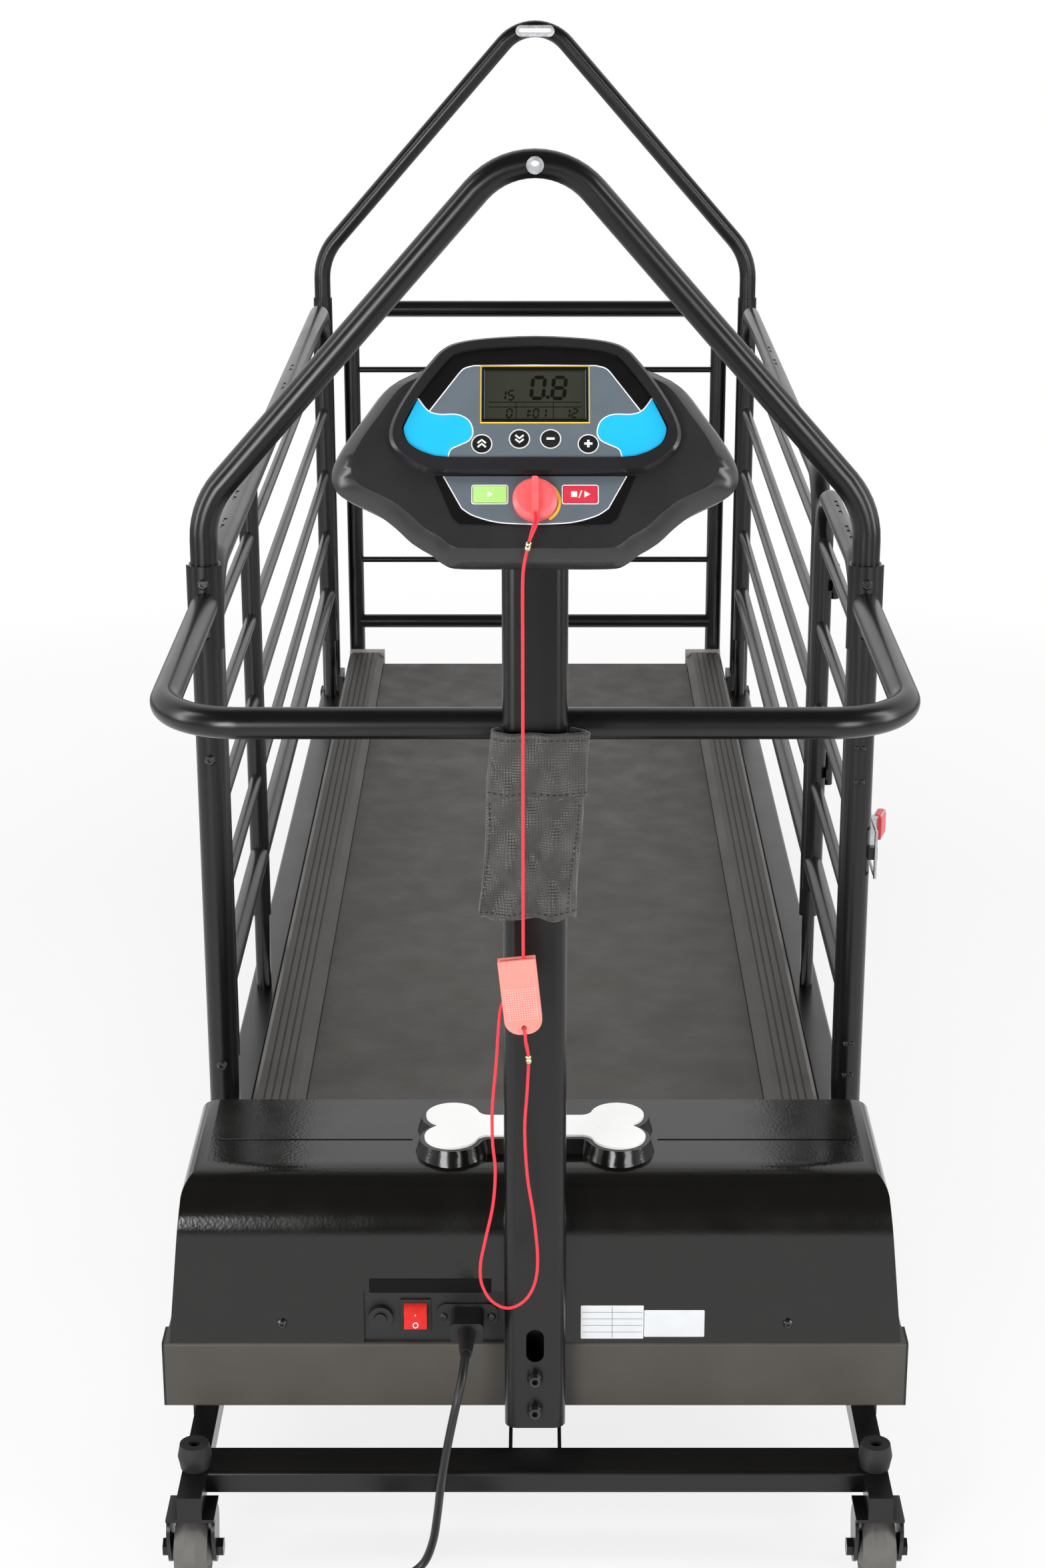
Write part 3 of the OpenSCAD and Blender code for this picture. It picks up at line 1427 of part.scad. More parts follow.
module latch_base() {
    color("#c4c6c8") difference() {
        union() {
            translate([door_outer, door_front_y - door_r, latch_z - latch_plate_h / 2])
                cube([latch_plate_t, latch_plate_l, latch_plate_h]);
            for (s = [-1, 1])
                translate([latch_axis_x, latch_axis_y, latch_z + s * (latch_plate_h - latch_ear_t) / 2]) {
                    cylinder(h = latch_ear_t, r = latch_ear_in, center = true);
                    translate([door_outer - latch_axis_x, -latch_ear_in, -latch_ear_t / 2])
                        cube([latch_axis_x - door_outer, 2 * latch_ear_in, latch_ear_t]);
                }
        }
        upright(latch_axis_x, latch_axis_y, latch_z - latch_plate_h, latch_z + latch_plate_h,
            latch_pin_r + run_fit);
    }
}

lever_h = latch_plate_h - 2 * latch_ear_t - 2 * gap;

module latch_lever() {
    color("#c4c6c8") translate([latch_axis_x, latch_axis_y, latch_z]) {
        cylinder(h = latch_plate_h, r = latch_pin_r, center = true);
        difference() {
            union() {
                cylinder(h = lever_h, r = latch_ear_in, center = true);
                translate([0, latch_crank, 0]) cylinder(h = lever_h, r = latch_pin_r + over, center = true);
                translate([-latch_lever_t, 0, -lever_h / 2]) cube([2 * latch_lever_t, latch_crank, lever_h]);
                translate([0, 0, -lever_h / 3]) rotate([0, 0, -latch_lever_out]) {
                    cube([latch_lever_t, latch_lever_l, lever_h * 2 / 3]);
                    translate([latch_lever_t / 2 - latch_grip_t / 2, latch_lever_l - latch_grip_l, 0])
                        cube([latch_grip_t, latch_grip_l, lever_h * 2 / 3]);
                }
            }
            translate([0, latch_crank, 0]) cylinder(h = loop_h + over, r = loop_r + run_fit, center = true);
        }
    }
}

module latch_loop() {
    color("#d0d2d4") translate([latch_axis_x, 0, latch_z]) {
        pin_y = latch_axis_y + latch_crank;
        for (y = [pin_y, loop_end_y]) translate([0, y, 0])
            cylinder(h = loop_h + 2 * loop_r, r = loop_r, center = true);
        for (s = [-1, 1]) rod_y(0, loop_end_y, pin_y, s * loop_h / 2, loop_r - seat_fit);
    }
}

// Bolt and screw heads
module head_y(x, y, z, r, h) {
    translate([x, y, z]) rotate([90, 0, 0]) difference() {
        union() {
            cylinder(h = h / 2, r = r);
            translate([0, 0, h / 2]) cylinder(h = h / 2, r1 = r, r2 = r * 0.7);
        }
        translate([0, 0, h / 2]) cylinder(h = h, r = r * 0.45, $fn = 6);
    }
}

// A head on the front of an upright round tube
module post_head(x, z, r, h, tube_r) {
    difference() {
        head_y(x, post_y - tube_r + h / 2, z, r, h * 1.5);
        upright(sign(x) * post_x, post_y, z - 2 * r, z + 2 * r, tube_r);
    }
}

module bolts() {
    saddle_r = post_r + seat_fit + saddle_t;
    color("#2a2a2c") {
        for (s = mast_bolt_shares) head_y(0, mast_y, frame_z + s * tube_h, bolt_r * 1.3, bolt_h * 3);
        for (s = [-1, 1], z = [post_top - saddle_h / 5, post_top - saddle_h * 4 / 5])
            post_head(s * post_x, z, bolt_r, bolt_h, saddle_r);
        for (u = left_bolt_ups) post_head(-post_x, low_bar_z + u, bolt_r, bolt_h, post_r);
        for (u = right_screw_ups, s = [-1, 1])
            post_head(post_x + s * screw_side, low_bar_z + u, screw_r, screw_h, post_r);
        for (s = [-1, 1]) {
            head_y(s * hood_w * hood_screw_share, hood_y, hood_z + inlet_h, hood_screw_r, bolt_h);
            head_y(inlet_x + s * screw_pitch / 2, panel_y - flange_t, inlet_z, screw_r * 1.4, screw_h);
            mirror([0, 1, 0])
                head_y(s * (rail_x + rail_w / 2), -rail_back - rail_cap_l, deck_top, bolt_r, bolt_h);
        }
    }
}

// Incline lift
module lift_arm(x) {
    y0 = caster_y - arm_nose;
    difference() {
        translate([x - arm_w / 2, y0, arm_z]) cube([arm_w, pivot_y + arm_tail - y0, arm_h]);
        rod_x(x - arm_w, x + arm_w, pivot_y, pivot_z, pivot_r + run_fit);
    }
}

module fork(x) {
    translate([x - fork_half, caster_y - fork_l / 2, fork_top - fork_t])
        cube([2 * fork_half, fork_l, fork_t]);
    for (k = [-1, 1]) along_x(x + k * (fork_half - fork_t / 2) - fork_t / 2, fork_t) difference() {
        wrap([caster_y, wheel_r], fork_end_r, [caster_y, fork_top - fork_l / 2], fork_l / 2);
        translate([caster_y, wheel_r]) circle(axle_r + seat_fit);
    }
}

module caster_axle(x) {
    reach = fork_half + seat_fit;
    rod_x(x - reach - axle_head_l, x + reach + axle_head_l, caster_y, wheel_r, axle_r);
    for (k = [-1, 1]) translate([x + k * (reach + axle_head_l / 2), caster_y, wheel_r]) rotate([0, 90, 0])
        cylinder(h = axle_head_l, r = axle_head_r, center = true, $fn = 6);
}

// One of the twin bell cranks, with its leg to the crossbar
module crank_plate(x) {
    leg_front = lift_bar_y + bar_d + seat_fit;
    along_x(x - crank_t / 2, crank_t) {
        difference() {
            wrap([pivot_y, pivot_z], crank_low, [crank_y, crank_z], crank_w / 2);
            translate([pivot_y, pivot_z]) circle(pivot_r + run_fit);
            translate([crank_y, crank_z]) circle(crank_pin_r + seat_fit);
        }
        translate([leg_front, arm_z]) square([pivot_y - crank_low - seat_fit - leg_front, arm_h]);
    }
}

module lift_frame() {
    bar_l = 2 * (arm_x - arm_w / 2 - seat_fit);
    color("#202022") {
        for (s = [-1, 1]) {
            lift_arm(s * arm_x);
            fork(s * arm_x);
            caster_axle(s * arm_x);
            crank_plate(s * crank_x);
        }
        along_x(-bar_l / 2, bar_l) translate([lift_bar_y + bar_d / 2, pivot_z])
            box_section(bar_d, arm_h, tube_corner, tube_wall);
        rod_x(-crank_x - 2 * crank_t, crank_x + 2 * crank_t, crank_y, crank_z, crank_pin_r);
    }
}

module bumpers() {
    color("#2e2e2f") for (s = [-1, 1]) translate([s * arm_x, bumper_y, arm_z + arm_h]) difference() {
        union() {
            cylinder(h = bumper_h / 2, r1 = bumper_top_r, r2 = bumper_r);
            translate([0, 0, bumper_h / 2]) cylinder(h = bumper_h / 2, r1 = bumper_r, r2 = bumper_top_r);
        }
        translate([0, 0, bumper_h / 3]) cylinder(h = bumper_h, r = bumper_hole);
    }
}

module caster(s) {
    half = wheel_w / 2;
    bevel = wheel_w * tyre_share;
    right = [[axle_r + run_fit, half], [hub_r, half], [hub_r + bevel, half - bevel],
        [wheel_r - 2 * bevel, half - bevel], [wheel_r - bevel, half - bevel / 2],
        [wheel_r, half - 2 * bevel]];
    color("#3a3a3b") translate([s * arm_x, caster_y, wheel_r]) rotate([0, 90, 0]) rotate_extrude()
        polygon(concat(right, [for (i = [len(right) - 1:-1:0]) [right[i][0], -right[i][1]]]));
}

module lift_motor() {
    box_y = lift_y + lift_box_tail - lift_box[1];
    color("#4b4e51") difference() {
        union() {
            translate([-lift_box[0] / 2, box_y, lift_axis_z - lift_box[2] / 2]) cube(lift_box);
            upright(0, box_y + lift_box[1] / 3, lift_axis_z - lift_box[2] / 2 - lift_can_l, lift_axis_z,
                lift_can_r);
            rod_y(0, box_y - lift_sleeve_l, box_y + over, lift_axis_z, lift_sleeve_r);
        }
        rod_y(0, box_y - lift_sleeve_l - over, lift_y - lift_pin_r * 3, lift_axis_z, lift_tube_r + run_fit);
        rod_x(-lift_box[0], lift_box[0], lift_y, lift_axis_z, lift_pin_r + run_fit);
    }
}

module lift_tube() {
    color("#c0c2c4") difference() {
        union() {
            rod_y(0, crank_y, lift_y - lift_pin_r * 3 - 2 * over, lift_axis_z, lift_tube_r);
            rod_x(-eye_w / 2, eye_w / 2, crank_y, crank_z, eye_r);
        }
        rod_x(-eye_w, eye_w, crank_y, crank_z, crank_pin_r + crank_slack);
    }
}

// Mains lead
module mains_lead() {
    color("#141415") swept(smooth_path(lead_points, lead_steps), cord_r, lead_sides);
}

// The spare length lies in a coil of two layers: in, up at the turn, and out again
coil_start = 180 + 360 * coil_turns;
function coil_angle(i) = 360 * (i / coil_rings - coil_turns);
function coil_rise(t) = t < -90 ? 0 : t > 90 ? 1 : (1 - cos(t + 90)) / 2;
function coil_point(t) = let (r = coil_inner + coil_pitch * norm([t, coil_ease]) / 360)
    [coil_c[0] + r * cos(t + coil_start), coil_c[1] + r * sin(t + coil_start),
        cord_r + floor_gap + coil_rise(t) * coil_lift];
coil_path = [for (i = [0:2 * coil_turns * coil_rings]) coil_point(coil_angle(i))];
coil_end = coil_path[len(coil_path) - 1];
coil_whole = concat([coil_path[0] + [0, coil_lead_in, 0]], coil_path,
    [coil_end - [0, coil_tail / 2, 0], coil_end - [0, coil_tail, 0]]);
coil_gap = min([for (i = [0:len(coil_whole) - 1], j = [i + coil_rings / 2:1:len(coil_whole) - 1])
    norm(coil_whole[i] - coil_whole[j])]) - 2 * cord_r;

module lead_coil() {
    echo(least_gap_in_coil = coil_gap);
    color("#141415") swept(coil_whole, cord_r, coil_sides);
}

module connector_at_inlet() {
    start = lead_points[0];
    face = panel_y - flange_t - gap;
    nose = inlet_deep - 4 * panel_t;
    along_y(face - connector_l, connector_l) translate([inlet_x, inlet_z])
        rounded(inlet_w, inlet_h, connector_round);
    along_y(face - over, nose) translate([inlet_x, inlet_z])
        square([inlet_w - 2 * panel_t - 2 * gap, inlet_h - 2 * panel_t - 2 * gap], center = true);
    translate(start) rotate([-90, 0, 0])
        cylinder(h = face - connector_l - start[1] + over, r1 = cord_r * 1.4, r2 = inlet_h / 2.4);
}

module plug_at_coil() {
    translate(coil_whole[len(coil_whole) - 1]) rotate([90, 0, 0]) {
        cylinder(h = plug_boot_l, r1 = plug_boot_r, r2 = plug_r * 0.8);
        translate([0, 0, plug_boot_l]) cylinder(h = plug_l, r = plug_r);
        for (s = [-1, 1]) translate([s * blade_pitch / 2 - blade_t / 2, -blade_w / 2, plug_boot_l + plug_l])
            cube([blade_t, blade_w, blade_l]);
    }
}

module lead_connectors() {
    color("#171718") {
        connector_at_inlet();
        plug_at_coil();
    }
}

// Each node is drawn alone or with all the others
side_members();
cross_members();
rubber_fittings();
deck_board();
running_belt();
side_rails();
rail_end_caps();
steel_shafts();
drive_motor();
drive_belt();
controller_box();
hood();
bone_plate();
inlet_panel();
power_inlet();
mast();
mast_cover();
console_shell();
console_bezel();
face_panels();
display();
guard_bar();
bolts();
posts();
front_arch();
rear_arch();
arch_eyelets();
left_panel();
right_panel();
door_hinges();
latch_keeper();
rear_guard();
front_roller();
rear_roller();
motor_pulley();
lift_motor();
lift_tube();
lift_frame();
bumpers();
caster(-1);  // caster_left
caster(1);  // caster_right
door();
latch_base();
latch_lever();
latch_loop();
round_key(0);  // incline_up_key
round_key(1);  // incline_down_key
round_key(2);  // slower_key
round_key(3);  // faster_key
bar_key(-1, "#86cf5a");  // green_key
bar_key(1, "#d4213d");  // red_key
rocker();
breaker_button();
safety_key();
tether_cord();
tether_clip();
clip_jaw();
mains_lead();
lead_coil();
lead_connectors();
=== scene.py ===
# %% [markdown]
# # A dog treadmill, dressed for a studio picture
# The solids come from CAD as a fixed frame: tubes, hood, console, rollers, latch and lift. Blender adds
# what CAD leaves plain: the finish of each material, the cords, the cloth sleeve on the mast, the print
# on the console and the small marks on the keys. Everything is in metres, in the frame's own axes: +X to
# the right of a person at the console, +Y along the belt, +Z up.

# %% Load the frame
import math

import bmesh
import bpy
from mathutils import Matrix, Vector


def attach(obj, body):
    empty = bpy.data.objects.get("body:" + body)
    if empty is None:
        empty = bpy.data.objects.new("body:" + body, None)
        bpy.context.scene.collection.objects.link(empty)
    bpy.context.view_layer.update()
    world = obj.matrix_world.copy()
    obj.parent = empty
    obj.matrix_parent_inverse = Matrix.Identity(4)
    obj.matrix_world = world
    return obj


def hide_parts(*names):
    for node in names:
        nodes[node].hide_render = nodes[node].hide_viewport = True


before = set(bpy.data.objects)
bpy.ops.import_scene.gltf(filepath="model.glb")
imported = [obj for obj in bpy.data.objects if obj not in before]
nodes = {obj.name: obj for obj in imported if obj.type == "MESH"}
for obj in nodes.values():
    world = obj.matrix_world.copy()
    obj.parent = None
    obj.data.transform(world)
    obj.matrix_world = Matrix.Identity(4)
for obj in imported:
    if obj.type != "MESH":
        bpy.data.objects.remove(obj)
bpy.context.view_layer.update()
MM = 0.001
scene = bpy.context.scene

# %% [markdown]
# ## The camera
# A long lens stands in front of the console, a little above it, and looks down along the belt. The lens,
# height and tilt decide how fast the rails run together, so they are set before anything else. A small
# sideways shift centres the picture as the photographer framed it.

# %% Camera
lens_camera = bpy.data.cameras.new("studio_camera")
lens_camera.sensor_fit = "VERTICAL"
lens_camera.sensor_height = 36
lens_camera.lens = 65.0
lens_camera.shift_x = -0.008
lens_camera.clip_end = 50
camera = bpy.data.objects.new("studio_camera", lens_camera)
scene.collection.objects.link(camera)
camera_back, camera_height = 2.960, 1.383
camera.location = (0, -camera_back, camera_height)
camera_tilt = math.radians(18.99)
camera.rotation_euler = (math.pi / 2 - camera_tilt, 0, 0)
scene.camera = camera
print("camera looks down by", round(math.degrees(camera_tilt), 2), "degrees")

# %% [markdown]
# ## Colours and nodes
# Colours are written as sRGB hex values, as a paint card gives them, and one function turns them into the
# linear values that shaders use. A second small function adds a shader node, sets it up and links it, so
# a material reads as a list of what is laid over what.


# %% Two small helpers for every material
def colour(hex_value):
    channels = [int(hex_value[i:i + 2], 16) / 255 for i in (1, 3, 5)]
    linear = [c / 12.92 if c <= 0.04045 else ((c + 0.055) / 1.055) ** 2.4 for c in channels]
    return (*linear, 1.0)


def add(tree, kind, inputs=None, **settings):
    made = tree.nodes.new(kind)
    for name, value in settings.items():
        setattr(made, name, value)
    for name, value in (inputs or {}).items():
        if isinstance(value, bpy.types.NodeSocket):
            tree.links.new(value, made.inputs[name])
        else:
            made.inputs[name].default_value = value
    return made


def new_material(name, base, roughness, **sockets):
    material = bpy.data.materials.new(name)
    material.use_nodes = True
    shader = material.node_tree.nodes["Principled BSDF"]
    shader.inputs["Base Color"].default_value = colour(base)
    shader.inputs["Roughness"].default_value = roughness
    for socket, value in sockets.items():
        shader.inputs[socket.replace("_", " ")].default_value = value
    return material, material.node_tree, shader


def per_metre(millimetres):
    return 1 / (millimetres * MM)


def mottle(tree, shader, light, dark, patch_mm, rough_low, rough_high):
    """Slow changes of tone and gloss over a surface, as handling and moulding leave them."""
    place = add(tree, "ShaderNodeTexCoord")
    cloud = add(tree, "ShaderNodeTexNoise",
                {"Vector": place.outputs["Object"], "Scale": per_metre(patch_mm), "Detail": 4.0})
    tone = add(tree, "ShaderNodeMix", {"Factor": cloud.outputs["Fac"]}, data_type="RGBA")
    tone.inputs[6].default_value = colour(dark)
    tone.inputs[7].default_value = colour(light)
    tree.links.new(tone.outputs[2], shader.inputs["Base Color"])
    gloss = add(tree, "ShaderNodeMapRange", {"Value": cloud.outputs["Fac"], "From Min": 0.3,
                "From Max": 0.7, "To Min": rough_low, "To Max": rough_high})
    tree.links.new(gloss.outputs["Result"], shader.inputs["Roughness"])
    return place


def grain(tree, shader, place, grain_mm, depth_mm, kind="noise"):
    """A fine relief of that grain size and depth."""
    if kind == "pebble":
        relief = add(tree, "ShaderNodeTexVoronoi", {"Vector": place.outputs["Object"],
                     "Scale": per_metre(grain_mm)}, feature="SMOOTH_F1").outputs["Distance"]
    else:
        relief = add(tree, "ShaderNodeTexNoise", {"Vector": place.outputs["Object"],
                     "Scale": per_metre(grain_mm), "Detail": 2.0}).outputs["Fac"]
    bump = add(tree, "ShaderNodeBump", {"Height": relief, "Strength": 0.6, "Distance": depth_mm * MM})
    tree.links.new(bump.outputs["Normal"], shader.inputs["Normal"])


# %% [markdown]
# ## The finishes
# Almost everything is black, so the finishes have to differ by gloss and grain: powder-coated tube is
# satin with a faint orange peel, the hood is vacuum-formed ABS with a leather grain, the console is a
# finer moulded ABS and the belt is a matt PVC. Grains are drawn a little coarser than the real ones
# where they would be too fine to show.

# %% Powder-coated steel
# Baked powder on tube: near black, with long soft highlights.
powder_coat, tree, shader = new_material("satin_powder_coat_on_steel", "#0d0d0d", 0.3, IOR=1.5)
place = mottle(tree, shader, "#100f0f", "#0a0a0a", 90, 0.26, 0.32)
grain(tree, shader, place, 25, 0.01)
# A matt powder on the front beam: dull brown-grey, lighter than the other tube, with a sandy grain.
beam_coat, tree, shader = new_material("matt_textured_powder_coat", "#464239", 0.55, IOR=1.5)
place = mottle(tree, shader, "#4f4a44", "#3c3833", 60, 0.44, 0.6)
grain(tree, shader, place, 1.6, 0.06)

# %% Vacuum-formed hood with a leather grain
# Sheet ABS drawn over a mould: deep glossy black, its highlights broken by a leather grain.
hood_abs, tree, shader = new_material("grained_vacuum_formed_abs", "#12100f", 0.24, IOR=1.52)
place = mottle(tree, shader, "#12110f", "#0b0a09", 45, 0.12, 0.2)
grain(tree, shader, place, 2.4, 0.09, "pebble")

# %% Injection-moulded console, bezel and small black parts
# Moulded black ABS with a fine etched grain and a satin shine. Its base and patch colours are lifted to a
# dark grey as a painted reflection of the overhead light, which mirrors don't see.
console_abs, tree, shader = new_material("fine_grained_moulded_abs", "#2b2b2c", 0.3, IOR=1.52)
place = mottle(tree, shader, "#303031", "#262627", 40, 0.24, 0.32)
grain(tree, shader, place, 0.9, 0.03)
# Smooth moulded black ABS: darker than the shell, with a clearer shine. Its base too is lifted to a dark grey
# as a painted reflection of the overhead light.
bezel_abs, tree, shader = new_material("smooth_black_moulded_abs", "#242425", 0.28, IOR=1.52)
place = mottle(tree, shader, "#28282a", "#202021", 50, 0.22, 0.3)
grain(tree, shader, place, 0.7, 0.02)
# Moulded nylon: dull black, a little uneven.
nylon, tree, shader = new_material("black_nylon", "#141415", 0.5, IOR=1.53)
place = mottle(tree, shader, "#1a1a1b", "#101011", 15, 0.4, 0.55)
grain(tree, shader, place, 0.6, 0.03)

# %% Ribbed rail plastic, wheel nylon and rubber
# Extruded PVC: a warm dark grey with a low sheen along its ribs.
rail_pvc, tree, shader = new_material("extruded_dark_pvc", "#44413d", 0.45, IOR=1.53, Specular_IOR_Level=0.35)
place = mottle(tree, shader, "#494642", "#3e3b37", 120, 0.38, 0.5)
grain(tree, shader, place, 1.2, 0.03)
# Moulded PVC: a pale warm grey, lighter than all round it.
cap_pvc, tree, shader = new_material("moulded_grey_pvc", "#a09a97", 0.45, IOR=1.53)
place = mottle(tree, shader, "#a8a29f", "#96908d", 20, 0.4, 0.5)
grain(tree, shader, place, 0.8, 0.03)
# Cast nylon scuffed by floors: blotched grey with hardly a shine.
wheel_nylon, tree, shader = new_material("scuffed_grey_nylon", "#5a5855", 0.5, IOR=1.53)
place = mottle(tree, shader, "#6c6a66", "#4a4845", 9, 0.45, 0.7)
grain(tree, shader, place, 1.0, 0.08)
# Moulded rubber: flat black that shows only at its edges.
rubber, tree, shader = new_material("moulded_black_rubber", "#171717", 0.65, IOR=1.52)
place = mottle(tree, shader, "#1f1e1d", "#121212", 14, 0.55, 0.75)
grain(tree, shader, place, 0.8, 0.05)

# %% Bright metal, dark bolts and painted motors
# Zinc plate on steel: bright, slightly cloudy metal.
zinc, tree, shader = new_material("zinc_plated_steel", "#c3c5c8", 0.28, Metallic=1.0)
place = mottle(tree, shader, "#d2d4d6", "#a9acb0", 12, 0.2, 0.36)
grain(tree, shader, place, 1.2, 0.02)
# Turned steel: a clean grey metal, duller than plating.
turned_steel, tree, shader = new_material("turned_steel", "#9b9da0", 0.35, Metallic=1.0)
place = mottle(tree, shader, "#a6a8ab", "#8a8c8f", 30, 0.28, 0.42)
grain(tree, shader, place, 0.8, 0.02)
# Blackened steel: dark metal with a bright rim.
black_oxide, tree, shader = new_material("black_oxide_bolt_steel", "#4a4a4c", 0.28, Metallic=0.9)
place = mottle(tree, shader, "#5c5c5e", "#38383a", 5, 0.2, 0.36)
grain(tree, shader, place, 0.5, 0.02)
# Stoved enamel: an even mid grey with a soft shine.
motor_enamel, tree, shader = new_material("grey_motor_enamel", "#3d3f42", 0.4, IOR=1.5)
place = mottle(tree, shader, "#44464a", "#343639", 40, 0.34, 0.48)
grain(tree, shader, place, 1.5, 0.04)
# Waxed laminate on board: dark brown and smooth.
deck_laminate, tree, shader = new_material("waxed_deck_laminate", "#2b2622", 0.35, IOR=1.5)
place = mottle(tree, shader, "#322c27", "#241f1c", 80, 0.28, 0.42)
grain(tree, shader, place, 3.0, 0.02)

# %% Coloured plastics
# Glossy PVC: a clean white that mirrors the backdrop.
white_pvc, tree, shader = new_material("glossy_white_pvc", "#fcfcfb", 0.3, IOR=1.52)
place = mottle(tree, shader, "#fdfdfc", "#fbfbfa", 45, 0.26, 0.34)
grain(tree, shader, place, 2.5, 0.004)
# Moulded ABS: a warm, light red with a soft shine.
red_abs, tree, shader = new_material("moulded_red_abs", "#fb6a6c", 0.35, IOR=1.52)
place = mottle(tree, shader, "#fd7274", "#f76264", 12, 0.3, 0.42)
grain(tree, shader, place, 0.6, 0.03)
# Polypropylene: a waxy salmon pink.
clip_pp, tree, shader = new_material("salmon_pink_polypropylene", "#fd9488", 0.45, IOR=1.49)
place = mottle(tree, shader, "#ff9d92", "#f98b80", 14, 0.4, 0.5)
grain(tree, shader, place, 0.7, 0.03)
# Polycarbonate under a clear coat: deep red with a hard, glassy highlight.
rocker_pc, tree, shader = new_material("translucent_red_polycarbonate", "#e8322c", 0.16, IOR=1.58)
mottle(tree, shader, "#ee3a33", "#dc2a25", 8, 0.12, 0.2)
shader.inputs["Coat Weight"].default_value = 0.4
print(len(bpy.data.materials), "materials so far")

# %% [markdown]
# ## The two cords
# The mains lead is a round PVC flex. It leaves the inlet connector, drops in front of the frame beam,
# turns along the floor and ends in a small coil with its plug, as it is put away. The red tether hangs
# from the safety key to a clip, runs on down in a long loop and comes back up to the clip. Both routes
# are a few points with a smooth curve through them, the same ones that the solids follow.


# %% Smooth routes
def smooth(points, steps, closed=False):
    """Catmull-Rom curve through the points."""
    points = [Vector(p) for p in points]
    count = len(points)
    route = []
    for i in range(count if closed else count - 1):
        if closed:
            p, q, r, s = (points[(i + k) % count] for k in (-1, 0, 1, 2))
        else:
            p, q, r, s = points[max(i - 1, 0)], points[i], points[i + 1], points[min(i + 2, count - 1)]
        for k in range(steps):
            t = k / steps
            route.append(0.5 * (2 * q + (r - p) * t + (2 * p - 5 * q + 4 * r - s) * t * t
                                + (3 * q - p - 3 * r + s) * t ** 3))
    return route if closed else route + [points[-1]]


def length_of(route):
    return sum((b - a).length for a, b in zip(route, route[1:]))


def round_cord(name, route, radius, material):
    curve = bpy.data.curves.new(name, "CURVE")
    curve.dimensions = "3D"
    curve.bevel_depth = radius
    curve.bevel_resolution = 4
    curve.use_fill_caps = True
    line = curve.splines.new("POLY")
    line.points.add(len(route) - 1)
    for point, place in zip(line.points, route):
        point.co = (*place, 1)
    made = bpy.data.objects.new(name, curve)
    scene.collection.objects.link(made)
    made.data.materials.append(material)
    return made


# %% Skins over rings of points
def lofted(name, rings, material, body):
    """A closed skin over rings of points in millimetres, each with the same number of points."""
    mesh = bmesh.new()
    loops = [[mesh.verts.new(Vector(p) * MM) for p in ring] for ring in rings]
    count = len(rings[0])
    for low, high in zip(loops, loops[1:]):
        for i in range(count):
            j = (i + 1) % count
            mesh.faces.new((low[i], low[j], high[j], high[i]))
    mesh.faces.new(reversed(loops[0]))
    mesh.faces.new(loops[-1])
    bmesh.ops.recalc_face_normals(mesh, faces=mesh.faces)
    data = bpy.data.meshes.new(name)
    mesh.to_mesh(data)
    mesh.free()
    data.shade_smooth()
    data.materials.append(material)
    made = bpy.data.objects.new(name, data)
    scene.collection.objects.link(made)
    smoothing = made.modifiers.new("crisp_edges", "EDGE_SPLIT")
    smoothing.split_angle = math.radians(40)
    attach(made, body)
    return made


def ferrule(name, middle, way, material, body):
    """A pinched metal sleeve round a cord."""
    way = Vector(way).normalized()
    side = way.orthogonal().normalized()
    other = way.cross(side)
    rings = []
    for along, r in [(-3.2, 1.8), (-2.7, 2.2), (-0.8, 2.2), (0, 1.9), (0.8, 2.2), (2.7, 2.2), (3.2, 1.8)]:
        rings.append([Vector(middle) + way * along + (side * math.cos(q) + other * math.sin(q)) * r
                      for q in (math.tau * k / 20 for k in range(20))])
    return lofted(name, rings, material, body)


# %% PVC flex and braided cord
# Extruded PVC flex: soft black with one long dull highlight.
flex_pvc, tree, shader = new_material("black_pvc_flex", "#131314", 0.42, IOR=1.53)
place = mottle(tree, shader, "#18181a", "#0f0f10", 20, 0.36, 0.5)
grain(tree, shader, place, 1.0, 0.03)
# Braided polyester: bright red with a fine slanting rib.
braid, tree, shader = new_material("braided_red_polyester", "#e22c3c", 0.6, IOR=1.5)
place = mottle(tree, shader, "#ee3e4c", "#cf2433", 3, 0.55, 0.7)
plait = add(tree, "ShaderNodeTexWave", {"Vector": place.outputs["Object"], "Scale": per_metre(2.5) / math.tau,
            "Distortion": 1.5}, wave_type="BANDS", bands_direction="DIAGONAL")
relief = add(tree, "ShaderNodeBump", {"Height": plait.outputs["Fac"], "Strength": 0.5, "Distance": 0.25 * MM})
tree.links.new(relief.outputs["Normal"], shader.inputs["Normal"])

# %% Mains lead and its coil
lead_points = [(-56, -945, 202), (-57, -955, 200), (-59, -971, 192), (-64, -980, 172),
               (-70, -978, 140), (-76, -970, 100), (-80, -961, 62), (-84, -956, 34), (-91, -956, 14),
               (-102, -960, 5), (-114, -967, 3.7), (-124, -978, 3.7), (-130, -993, 3.7),
               (-132, -1012, 3.7), (-132, -1023, 3.7)]
lead_r = 3.5
coil_turns, coil_pitch, coil_inner, coil_lift, coil_rings = 2.5, 7.6, 31, 7.6, 24
coil_centre = (-82, -1030)
coil_tail = 25


def coil_point(t):
    """A turn of the coil at angle t, in degrees: inwards on the floor, up a layer, and out again."""
    r = coil_inner + coil_pitch * math.hypot(t, 30) / 360
    rise = 0 if t < -90 else 1 if t > 90 else (1 - math.cos(math.radians(t + 90))) / 2
    a = math.radians(t + 180 + 360 * coil_turns)
    return Vector((coil_centre[0] + r * math.cos(a), coil_centre[1] + r * math.sin(a),
                   lead_r + 0.2 + coil_lift * rise))


